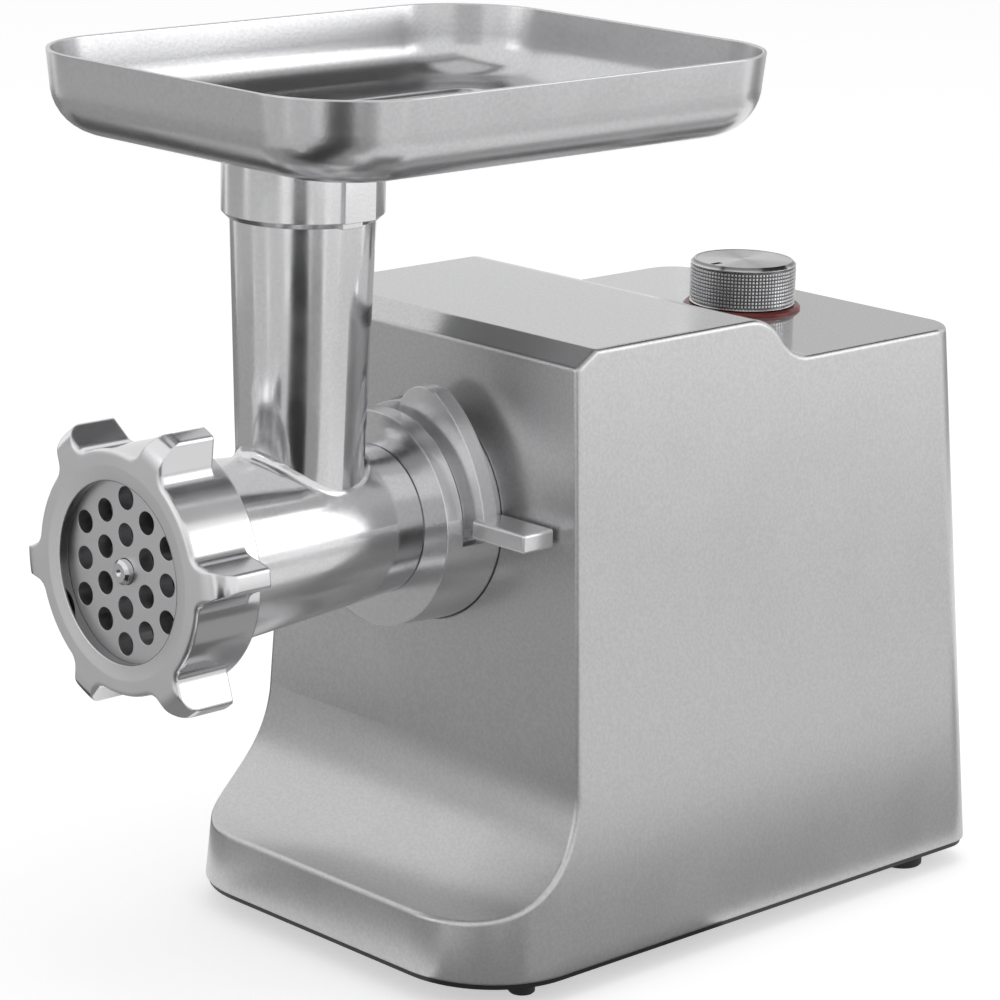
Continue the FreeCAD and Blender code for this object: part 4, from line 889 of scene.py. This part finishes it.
@dataclass
class FeedTray:
    """Pressed tray: flared wall, rounded bottom, stamped floor and a short spout."""

    corner: float = 0.035
    corner_steps: int = 16
    flare: float = 0.003
    round: float = 0.0165
    round_steps: int = 10
    ledge: float = 0.008
    stamp: float = 0.0012
    stamp_run: float = 0.0022
    stamp_bends: tuple[Pair, ...] = ((0.2, 0.3), (0.6, 0.4), (0.2, 0.3))
    wall: float = 0.0015
    hole_y: float = -0.090
    hole_radius: float = 0.020
    hole_steps: int = 72
    lip: float = 0.002
    lip_steps: int = 5
    edge: float = 0.0005
    edge_steps: int = 2
    edge_angle: float = math.radians(60.0)
    steel: Finish = Finish(
        "pressed_steel", (0.63, 0.63, 0.64), gloss=(0.22, 0.26), grain=0.0012, depth=0.000014
    )

    def drop(self, depth: float, inward: float) -> None:
        """Sink the selected face and draw its outline in."""
        bpy.ops.mesh.inset(thickness=inward, depth=-depth, use_even_offset=True)

    def floor_height(self) -> float:
        """Return the height of the floor's underside."""
        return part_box("grinder_head")[1].z

    def pan(self) -> Piece:
        """Model the open sheet of the tray from its rim to its floor.

        Returns:
            The sheet in edit mode, with its floor face selected.
        """
        low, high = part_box("feed_tray")
        middle = (low + high) / 2.0
        depth = high.z - self.floor_height()
        rest()
        bpy.ops.mesh.primitive_plane_add(size=1.0, location=(middle.x, middle.y, high.z))
        bpy.ops.transform.resize(value=(high.x - low.x, high.y - low.y, 1.0))
        tray = named("tray_pan")
        edit()
        pick_all()
        bpy.ops.mesh.bevel(offset=self.corner, segments=self.corner_steps, affect="VERTICES")
        pick(tray, Element.FACE, lambda face: True)
        upright = depth - self.stamp - self.round
        self.drop(upright, self.flare * upright / depth)
        turn = math.pi / 2.0 / self.round_steps
        for step in range(self.round_steps):
            here, there = step * turn, (step + 1) * turn
            sunk = self.round * (math.sin(there) - math.sin(here))
            drawn = self.round * (math.cos(here) - math.cos(there))
            self.drop(sunk, drawn)
        self.drop(0.0, self.ledge)
        for down, inward in self.stamp_bends:
            self.drop(self.stamp * down, self.stamp_run * inward)
        return tray

    def pierce(self, tray: Piece) -> None:
        """Open the floor round the hole and draw the spout down from it.

        Args:
            tray: The sheet in edit mode, with its floor face selected.
        """
        floor = self.floor_height()
        centre = Vector((0.0, self.hole_y, floor))
        spout = self.hole_radius + self.wall
        mouth = spout + self.lip
        bpy.ops.mesh.delete(type="ONLY_FACE")
        bpy.ops.mesh.primitive_circle_add(vertices=self.hole_steps, radius=mouth, location=centre)
        pick(tray, Element.EDGE, lambda edge: level_edge(edge, floor) and not edge.is_manifold)
        bpy.ops.mesh.fill()
        pick(tray, Element.EDGE, lambda edge: level_edge(edge, floor) and edge.is_boundary)
        turn = math.pi / 2.0 / self.lip_steps
        angles = [turn * step for step in range(1, self.lip_steps + 1)]
        bend = [
            (mouth - self.lip * math.sin(angle), floor - self.lip * (1.0 - math.cos(angle)))
            for angle in angles
        ]
        follow((mouth, floor), [*bend, (spout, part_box("feed_tray")[0].z)], centre)

    def face_inward(self, tray: Piece) -> None:
        """Turn all faces of the sheet to the inside of the tray.

        Args:
            tray: The sheet in edit mode.
        """
        pick_all()
        bpy.ops.mesh.normals_make_consistent(inside=False)
        mesh = bmesh.from_edit_mesh(tray.data)
        rim = max(mesh.faces, key=lambda face: face.calc_center_median().z)
        middle = sum((v.co for v in mesh.verts), Vector()) / len(mesh.verts)
        if rim.normal.dot(rim.calc_center_median() - middle) > 0.0:
            bpy.ops.mesh.flip_normals()

    def level_rim(self, tray: Piece) -> None:
        """Flatten the top of the rim.

        Args:
            tray: The tray with its thickness.
        """
        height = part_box("feed_tray")[1].z
        edit()
        pick(tray, Element.VERTEX, lambda vertex: vertex.co.z > height - self.edge)
        bpy.ops.transform.resize(value=(1.0, 1.0, 0.0), center_override=(0.0, 0.0, height))
        rest()

    def build(self) -> Piece:
        """Model the tray.

        Returns:
            The tray.
        """
        tray = self.pan()
        self.pierce(tray)
        self.face_inward(tray)
        rest()
        modify(tray, "SOLIDIFY", thickness=self.wall, offset=1.0, use_even_offset=True)
        self.level_rim(tray)
        modify(
            tray,
            "BEVEL",
            width=self.edge,
            segments=self.edge_steps,
            limit_method="ANGLE",
            angle_limit=self.edge_angle,
        )
        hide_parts("feed_tray")
        return finished(tray, "tray", "tray_metal", self.steel.make())


@dataclass(frozen=True)
class ScrewSet:
    """Screws with a domed head and a cross recess, in place of the plain screws of one node."""

    name: str
    node: str
    facing: Axis
    sense: float
    lean: float
    length: float
    rows: tuple[float, ...] = (0.0, 1.0)
    head_radius: float = 0.0036
    head_height: float = 0.0016
    shank_radius: float = 0.0020
    sides: int = 40
    dome: float = 0.0008
    dome_steps: int = 4
    arm_length: float = 0.0040
    arm_width: float = 0.0009
    arm_depth: float = 0.0011
    spread: float = math.radians(25.0)

    def outward(self) -> Vector:
        """Return the direction in which the heads look."""
        straight = Vector([self.sense if axis is self.facing else 0.0 for axis in Axis])
        return Quaternion(RIGHTWARD, self.lean) @ straight

    def places(self) -> list[Vector]:
        """Find the heads in the box of the node.

        Returns:
            The middle of each head's outer face.
        """
        low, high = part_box(self.node)
        reach = self.head_radius
        rise = abs(math.sin(self.lean))
        sides = (low.x + reach, high.x - reach)
        if self.facing is Axis.Z:
            run = high.y - low.y - 2.0 * reach
            return [Vector((x, low.y + reach + row * run, low.z)) for x in sides for row in self.rows]
        middle = (low.z + high.z) / 2.0 + rise * self.head_height / 2.0
        return [Vector((x, high.y - reach * rise, middle)) for x in sides]

    def pattern(self) -> Piece:
        """Model one screw that looks upwards, with its outer face at the origin.

        Returns:
            The screw.
        """
        rest()
        bpy.ops.mesh.primitive_cylinder_add(
            vertices=self.sides,
            radius=self.head_radius,
            depth=self.head_height,
            location=(0.0, 0.0, -self.head_height / 2.0),
        )
        screw = named(self.name + "_pattern")
        edit()
        pick(screw, Element.FACE, lambda face: face.normal.z < -FACING)
        bpy.ops.mesh.inset(thickness=self.head_radius - self.shank_radius)
        bpy.ops.mesh.extrude_region()
        bpy.ops.transform.translate(value=(0.0, 0.0, -self.length))
        pick(screw, Element.EDGE, lambda edge: level_edge(edge, 0.0))
        bpy.ops.mesh.bevel(offset=self.dome, segments=self.dome_steps, affect="EDGES")
        rest()
        for size in ((self.arm_length, self.arm_width), (self.arm_width, self.arm_length)):
            cut_box(screw, Vector(), (*size, 2.0 * self.arm_depth))
        return screw

    def build(self, steel: bpy.types.Material) -> Piece:
        """Set a copy of the pattern at each place and join them.

        Args:
            steel: Finish of the screws.

        Returns:
            The joined screws.
        """
        outward = self.outward().to_track_quat("Z", "Y")
        places = self.places()
        turns = [outward @ Quaternion(UPWARD, self.spread * index) for index in range(len(places))]
        screws = copied(self.pattern(), self.name, places, turns)
        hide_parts(self.node)
        return finished(screws, "housing", "bright_steel", steel)


@dataclass(frozen=True)
class InletBlades:
    """Three bright blades that sleeve the pins of the power inlet."""

    name: str = "inlet_blades"
    lean: float = REAR_LEAN
    pitch: float = 0.0054
    width: float = 0.0024
    height: float = 0.0042
    length: float = 0.0110
    flange: float = 0.0024
    tip: float = 0.0008
    tip_steps: int = 3

    def pattern(self) -> Piece:
        """Model one blade that points along +Y, with its tip at the origin.

        Returns:
            The blade.
        """
        rest()
        bpy.ops.mesh.primitive_cube_add(size=1.0, location=(0.0, -self.length / 2.0, 0.0))
        bpy.ops.transform.resize(value=(self.width, self.length, self.height))
        blade = named(self.name + "_pattern")
        edit()
        pick(blade, Element.EDGE, lambda edge: all(abs(vertex.co.y) < self.tip for vertex in edge.verts))
        bpy.ops.mesh.bevel(offset=self.tip, segments=self.tip_steps, affect="EDGES")
        rest()
        return blade

    def build(self, steel: bpy.types.Material) -> Piece:
        """Set the blades in the inlet's pocket.

        Args:
            steel: Finish of the blades.

        Returns:
            The joined blades.
        """
        low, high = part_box("power_inlet")
        turn = Quaternion(RIGHTWARD, self.lean)
        face = Vector((0.0, high.y - math.sin(self.lean) * (high.z - low.z) / 2.0, (low.z + high.z) / 2.0))
        tip = face - turn @ Vector((0.0, self.flange + self.tip, 0.0))
        places = [tip + Vector((step * self.pitch, 0.0, 0.0)) for step in (-1, 0, 1)]
        blades = copied(self.pattern(), self.name, places, [turn] * len(places))
        return finished(blades, "housing", "bright_steel", steel)


@dataclass(frozen=True)
class ScrewThread:
    """Ridge of a screw thread that winds round the head's axis."""

    name: str
    body: str
    root: float
    crest: float
    start: float
    turns: float
    pitch: float
    foot: float = 0.0018
    flat: float = 0.25
    steps: int = 64

    def build(self, metal: bpy.types.Material) -> Piece:
        """Wind the ridge.

        Args:
            metal: Finish of the piece that the ridge stands on.

        Returns:
            The ridge.
        """
        low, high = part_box("ring_nut")
        middle = (self.root + self.crest) / 2.0
        place = (0.0, self.start, middle)
        rest()
        bpy.ops.mesh.primitive_plane_add(size=1.0, rotation=(0.0, math.pi / 2.0, 0.0), location=place)
        ridge = named(self.name)
        edit()
        pick_all()
        bpy.ops.transform.resize(value=(1.0, self.foot, abs(self.crest - self.root)), center_override=place)
        outward = math.copysign(1.0, self.crest - self.root)
        pick(ridge, Element.VERTEX, lambda vertex: (vertex.co.z - middle) * outward > 0.0)
        bpy.ops.transform.resize(value=(1.0, self.flat, 1.0), center_override=place)
        pick_all()
        bpy.ops.mesh.delete(type="ONLY_FACE")
        rest()
        steps = round(self.steps * self.turns)
        modify(
            ridge,
            "SCREW",
            axis="Y",
            angle=2.0 * math.pi * self.turns,
            screw_offset=self.pitch * self.turns,
            steps=steps,
            render_steps=steps,
            use_smooth_shade=False,
        )
        edit()
        pick_all()
        bpy.ops.mesh.fill_holes(sides=4)
        activate(ridge)
        ridge.location.z = (low.z + high.z) / 2.0
        named(self.name)
        return finished(ridge, self.body, "cast_aluminium", metal)


@dataclass
class Housing:
    """Shell, base, feet, inlet, knob ring and screws."""

    shell: Finish = Topped(
        "satin_shell", (0.61, 0.61, 0.615), 0.85, (0.29, 0.33), 0.0011, shade=0.10, edge=0.0009
    )
    plastic: Finish = Finish("black_plastic", (0.018, 0.018, 0.019), 0.0, (0.38, 0.5), 0.0008, 0.00002)
    rubber: Finish = Finish("black_rubber", (0.015, 0.015, 0.015), 0.0, (0.6, 0.75), 0.0005, 0.00003)
    ring: Finish = Finish("red_plastic", (0.17, 0.017, 0.012), 0.0, (0.22, 0.3), 0.002)
    screw: Finish = Finish("bright_steel", (0.62, 0.62, 0.63), 1.0, (0.18, 0.28), 0.0006, 0.000004)
    inlet_heads: ScrewSet = ScrewSet("inlet_screw_heads", "inlet_screws", Axis.Y, 1.0, REAR_LEAN, 0.008)
    blades: InletBlades = InletBlades()
    base_heads: ScrewSet = ScrewSet("base_screw_heads", "base_screws", Axis.Z, -1.0, 0.0, 0.020)

    def dress(self, frame: dict) -> None:
        """Give the housing's CAD nodes their finishes and add its screw heads and blades.

        Args:
            frame: The loaded part.
        """
        dress(frame, self.shell.make(), "housing_shell")
        dress(frame, self.plastic.make(), "base_plate", "power_inlet", "rotary_switch", "brush_holders")
        dress(frame, self.rubber.make(), "front_feet", "rear_feet")
        dress(frame, self.ring.make(), "knob_ring")
        steel = self.screw.make()
        dress(frame, steel, "base_screws", "inlet_screws", "gearbox_screws", "socket_screws", "motor_bolts")
        dress(frame, steel, "switch_spindle")
        self.inlet_heads.build(steel)
        self.base_heads.build(steel)
        self.blades.build(steel)


@dataclass
class Head:
    """Socket, lever, barrel, nut, plate, knife and auger."""

    casting: Finish = Finish("polished_casting", (0.74, 0.74, 0.75), gloss=(0.12, 0.20), grain=0.0009)
    # The nut's finish darkens the wall of its opening with painted shade
    nut: Faced = Faced("faced_casting", (0.74, 0.74, 0.75), gloss=(0.12, 0.2), edge=0.001, opening=0.0287)
    socket: Finish = Finish(
        "satin_socket", (0.76, 0.76, 0.77), gloss=(0.17, 0.21), grain=0.0011, depth=0.000004, edge=0.0005
    )
    lever: Finish = replace(
        socket, name="satin_lever", colour=(0.88, 0.88, 0.89), metallic=0.7, gloss=(0.22, 0.26), edge=0.0007
    )
    cutter: Finish = Finish("ground_steel", (0.68, 0.68, 0.69), gloss=(0.34, 0.40), depth=0.000008)
    knife: Finish = replace(cutter, name="blade_steel", colour=(0.20, 0.20, 0.21))
    bush: Finish = Finish("bush_bronze", (0.55, 0.36, 0.17), gloss=(0.3, 0.4), grain=0.0004, depth=0.00001)
    thread_pitch: float = 0.003
    thread_start: float = -0.1550
    head_thread: ScrewThread = ScrewThread(
        "head_thread", "head", 0.03480, 0.03530, thread_start, turns=4.6, pitch=thread_pitch
    )
    nut_thread: ScrewThread = replace(
        head_thread,
        name="nut_thread",
        body="nut",
        root=0.03550,
        crest=0.03500,
        start=thread_start + thread_pitch / 2.0,
    )

    def nut_finish(self) -> Finish:
        """Return the nut's polish, with the satin face and the painted shade of the opening in their place.
        """
        low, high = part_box("ring_nut")
        return replace(self.nut, face=low.y, centre=tuple((low + high) / 2.0))

    def dress(self, frame: dict) -> None:
        """Give the head's CAD nodes their finishes and add its threads.

        Args:
            frame: The loaded part.
        """
        casting = self.casting.make()
        dress(frame, casting, "grinder_head", "auger")
        dress(frame, self.nut_finish().make(), "ring_nut")
        self.head_thread.build(casting)
        self.nut_thread.build(casting)
        dress(frame, self.socket.make(), "head_socket")
        dress(frame, self.lever.make(), "lock_lever")
        dress(frame, self.cutter.make(), "cutting_plate")
        dress(frame, self.knife.make(), "cutting_knife")
        dress(frame, self.bush.make(), "head_bush", "output_front_bush", "output_rear_bush")


@dataclass
class Drive:
    """Gearbox and motor inside the shell."""

    case: Finish = Finish(
        "gearbox_casting", (0.48, 0.48, 0.49), gloss=(0.4, 0.55), grain=0.0012, depth=0.00004
    )
    steel: Finish = Finish("gear_steel", (0.5, 0.5, 0.52), gloss=(0.22, 0.34), grain=0.0004)
    nylon: Finish = Finish("gear_nylon", (0.62, 0.60, 0.54), 0.0, (0.35, 0.45), 0.0008, 0.00001)
    fan: Finish = Finish("fan_plastic", (0.03, 0.03, 0.032), 0.0, (0.4, 0.5), 0.0008, 0.00002)
    carbon: Finish = Finish("brush_carbon", (0.022, 0.022, 0.023), 0.0, (0.5, 0.6), 0.0003, 0.00002)
    core: Finish = Layered("core_steel", (0.33, 0.33, 0.35), gloss=(0.35, 0.45))
    copper: Finish = Layered(
        "winding_copper", (0.62, 0.25, 0.11), gloss=(0.22, 0.32), axis=Axis.Z, pitch=0.0009
    )
    bars: Finish = Finish("commutator_copper", (0.70, 0.34, 0.20), gloss=(0.2, 0.3), lay=Lay.LENGTHWISE)

    def dress(self, frame: dict) -> None:
        """Give the CAD nodes of the gearbox and the motor their finishes.

        Args:
            frame: The loaded part.
        """
        case = self.case.make()
        dress(frame, case, "gearbox_case", "gearbox_cover", "motor_front_bracket", "motor_rear_bracket")
        dress(frame, self.nylon.make(), "first_gear")
        steel = self.steel.make()
        dress(frame, steel, "second_gear", "output_gear", "first_gear_pin", "second_gear_pin")
        dress(frame, steel, "rotor_shaft", "motor_front_bearing", "motor_rear_bearing")
        dress(frame, self.core.make(), "motor_stator", "armature_core")
        dress(frame, self.copper.make(), "field_coils", "armature_windings")
        dress(frame, self.bars.make(), "commutator")
        dress(frame, self.fan.make(), "cooling_fan")
        dress(frame, self.carbon.make(), "carbon_brushes")


@dataclass(frozen=True)
class Card:
    """Plain card of the studio that shows only in the metal."""

    name: str
    place: Triple
    aim: Triple
    width: float
    height: float
    level: float
    turn: float = 0.0

    def build(self) -> None:
        """Stand the card in the studio."""
        rest()
        bpy.ops.mesh.primitive_plane_add(size=1.0)
        card = bpy.context.object
        card.scale = (self.width, self.height, 1.0)
        facing = (Vector(self.aim) - Vector(self.place)).to_track_quat("Z", "Y")
        stand(card, self.place, facing @ Quaternion(UPWARD, math.radians(self.turn)))
        named(self.name)
        card.data.materials.append(self.material())
        for ray in ("camera", "diffuse", "shadow", "transmission"):
            setattr(card, f"visible_{ray}", False)
        LOG.info("card %s", self.name)

    def material(self) -> bpy.types.Material:
        """Build the card's even tone.

        Returns:
            The material.
        """
        material = bpy.data.materials.new(self.name)
        material.use_nodes = True
        nodes = material.node_tree.nodes
        nodes.remove(nodes["Principled BSDF"])
        tone = nodes.new("ShaderNodeEmission")
        tone.inputs["Strength"].default_value = self.level
        material.node_tree.links.new(tone.outputs["Emission"], nodes["Material Output"].inputs["Surface"])
        material.cycles.emission_sampling = "NONE"
        return material


@dataclass(frozen=True)
class Sheet:
    """Card on the floor that points away from a spot under the head.

    Azimuth 0 points along -Y and 90 along +X, in degrees.
    """

    name: str
    azimuth: float
    near: float
    far: float
    width: float
    level: float
    start: Triple = (0.0, -0.06, 0.003)
    step: float = 0.0002

    def card(self, order: int) -> Card:
        """Lay the sheet a little higher than the one before it.

        Args:
            order: Its number among the sheets.

        Returns:
            The sheet as a card.
        """
        turn = math.radians(self.azimuth)
        reach = (self.near + self.far) / 2.0
        place = Vector(self.start) + Vector((math.sin(turn), -math.cos(turn), 0.0)) * reach
        place.z += self.step * order
        above = place + Vector(UPWARD)
        length = self.far - self.near
        name = f"sheet_{self.name}"
        return Card(name, tuple(place), tuple(above), self.width, length, self.level, self.azimuth)


@dataclass(frozen=True)
class Lamp:
    """Soft square lamp."""

    name: str
    place: Triple
    aim: Triple
    size: float
    level: float
    in_gloss: bool = True

    def build(self) -> None:
        """Hang the lamp."""
        light = bpy.data.lights.new(self.name, "AREA")
        light.size = self.size
        light.energy = self.level * math.pi * self.size**2
        lamp = bpy.data.objects.new(self.name, light)
        bpy.context.scene.collection.objects.link(lamp)
        lamp.visible_glossy = self.in_gloss
        stand(lamp, self.place, (Vector(self.place) - Vector(self.aim)).to_track_quat("Z", "Y"))
        LOG.info("lamp %s", self.name)


@dataclass
class Studio:
    """Pale floor, white surround, cards, lamps and the camera."""

    floor_size: float = 12.0
    floor_tone: float = 0.8
    floor_rough: float = 0.9
    floor_lift: float = 0.52
    surround: float = 1.0
    ambient: float = 0.55
    azimuth: float = math.radians(45.934)
    elevation: float = math.radians(14.75)
    roll: float = math.radians(1.482)
    lens: float = 136.54
    place: Triple = (0.88120, -0.85438, 0.46601)
    cards: tuple[Card, ...] = (
        Card("card_camera", (1.16, -1.12, 0.45), (0.0, 0.0, 0.45), 1.0, 0.9, 0.65),
        Card("card_above", (0.05, 0.65, 1.20), (0.05, 0.65, 0.0), 0.9, 2.1, 0.08),
        Card("card_above_right", (0.70, 0.65, 1.20), (0.70, 0.65, 0.0), 0.4, 2.1, 0.50),
        Card("card_top", (0.05, 0.05, 1.10), (0.05, 0.05, 0.0), 0.6, 0.6, 0.75),
        Card("card_back_left", (-1.12, 0.58, 0.40), (-0.27, -0.27, 0.40), 0.95, 1.0, 0.87),
        Card("card_back_right", (-0.39, 1.31, 0.40), (0.46, 0.46, 0.40), 1.10, 1.0, 0.66),
        Card("card_left", (-1.05, -0.66, 0.26), (0.0, 0.0, 0.26), 0.9, 0.52, 0.44),
        Card("card_beside", (0.135, 0.20, 0.0075), (0.135, 0.20, 1.0), 0.09, 0.52, 0.35),
    )
    sheets: tuple[Sheet, ...] = (
        Sheet("left", -90.0, 0.12, 0.65, 0.60, 0.30),
        Sheet("front_near", -60.0, 0.10, 0.50, 0.60, 0.38),
        Sheet("front_mid", -58.0, 0.50, 0.95, 0.75, 0.41),
        Sheet("front_far", -55.0, 0.95, 1.40, 0.95, 0.58),
        Sheet("front_end", -8.0, 1.15, 1.90, 1.30, 0.50),
        Sheet("toe", -8.0, 0.05, 0.42, 0.13, 0.26),
        Sheet("gap_left", -20.0, 0.42, 1.30, 0.36, 0.62),
        Sheet("gap_right", 8.0, 0.42, 1.30, 0.40, 0.66),
        Sheet("dark", 44.0, 0.15, 1.56, 0.44, 0.03),
        Sheet("dusk", 70.0, 0.15, 1.30, 0.30, 0.36),
        Sheet("half", 95.0, 0.20, 1.30, 0.34, 0.78),
        Sheet("right_near", 128.0, 0.08, 0.55, 0.60, 0.88),
        Sheet("right_far", 132.0, 0.55, 1.30, 0.80, 0.71),
        Sheet("low_left", -84.0, 0.15, 0.50, 0.22, 0.08),
        Sheet("front_left", -60.0, 0.22, 0.42, 0.10, 0.62),
        Sheet("edge", -102.0, 0.66, 1.55, 0.60, 0.28),
        Sheet("back", 186.0, 0.90, 2.00, 0.90, 0.28),
        Sheet("beside", 95.0, 0.05, 0.28, 0.17, 0.16),
    )
    lamps: tuple[Lamp, ...] = (
        Lamp("lamp_right", (1.25, 1.20, 0.70), (0.0, 0.0, 0.25), 1.0, 1.3),
        Lamp("lamp_left", (-0.4, -1.6, 0.7), (0.0, 0.0, 0.15), 0.5, 0.8),
        Lamp("lamp_top", (0.1, 0.2, 1.7), (0.0, 0.0, 0.1), 1.2, 1.0, False),
    )

    @staticmethod
    def seen(nodes: bpy.types.Nodes, links: bpy.types.NodeLinks) -> Socket:
        """Tell the rays of the camera, of gloss and of glass from the rest.

        Args:
            nodes: Nodes of a material or of the world.
            links: Their links.

        Returns:
            1 for such a ray and 0 for any other.
        """
        path = nodes.new("ShaderNodeLightPath")
        total = path.outputs["Is Camera Ray"]
        for name in ("Is Glossy Ray", "Is Transmission Ray"):
            node = nodes.new("ShaderNodeMath")
            node.operation = "MAXIMUM"
            links.new(total, node.inputs[0])
            links.new(path.outputs[name], node.inputs[1])
            total = node.outputs["Value"]
        return total

    def world(self) -> None:
        """Light everything evenly and show white behind the object and in its gloss."""
        world = bpy.data.worlds.new("studio")
        bpy.context.scene.world = world
        world.use_nodes = True
        nodes, links = world.node_tree.nodes, world.node_tree.links
        strength = nodes.new("ShaderNodeMapRange")
        strength.inputs["To Min"].default_value = self.ambient
        strength.inputs["To Max"].default_value = self.surround
        links.new(self.seen(nodes, links), strength.inputs["Value"])
        background = nodes["Background"]
        background.inputs["Color"].default_value = WHITE
        links.new(strength.outputs["Result"], background.inputs["Strength"])

    def floor(self) -> None:
        """Lay the pale floor, which keeps the object's shadow."""
        rest()
        bpy.ops.mesh.primitive_plane_add(size=self.floor_size)
        floor = named("floor")
        graph = Graph("pale_floor")
        graph.set("Base Color", (self.floor_tone,) * 3 + (1.0,))
        graph.set("Roughness", self.floor_rough)
        graph.set("Specular IOR Level", 0.0)
        graph.set("Emission Color", WHITE)
        lift = graph.math("MULTIPLY", self.seen(graph.nodes, graph.links), self.floor_lift)
        graph.feed("Emission Strength", lift)
        graph.material.cycles.emission_sampling = "NONE"
        floor.data.materials.append(graph.material)

    def camera(self) -> None:
        """Set the camera where the photo was taken from."""
        data = bpy.data.cameras.new("camera")
        data.lens = self.lens
        camera = bpy.data.objects.new("camera", data)
        bpy.context.scene.collection.objects.link(camera)
        turn = Quaternion(UPWARD, self.azimuth)
        turn @= Quaternion(RIGHTWARD, math.pi / 2.0 - self.elevation)
        turn @= Quaternion(UPWARD, self.roll)
        stand(camera, self.place, turn)
        bpy.context.view_layer.update()
        bpy.context.scene.camera = camera

    def build(self) -> None:
        """Set up the studio."""
        bpy.context.scene.view_settings.view_transform = "Standard"
        self.world()
        self.floor()
        for card in self.cards:
            card.build()
        for order, sheet in enumerate(self.sheets):
            sheet.card(order).build()
        for lamp in self.lamps:
            lamp.build()
        self.camera()


def main() -> None:
    """Load the part, dress it, add the modelled pieces and set up the studio."""
    logging.basicConfig(level=logging.INFO)
    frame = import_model()
    Housing().dress(frame)
    Head().dress(frame)
    Drive().dress(frame)
    SpeedKnob().build()
    FeedTray().build()
    Studio().build()


if __name__ == "__main__":
    main()
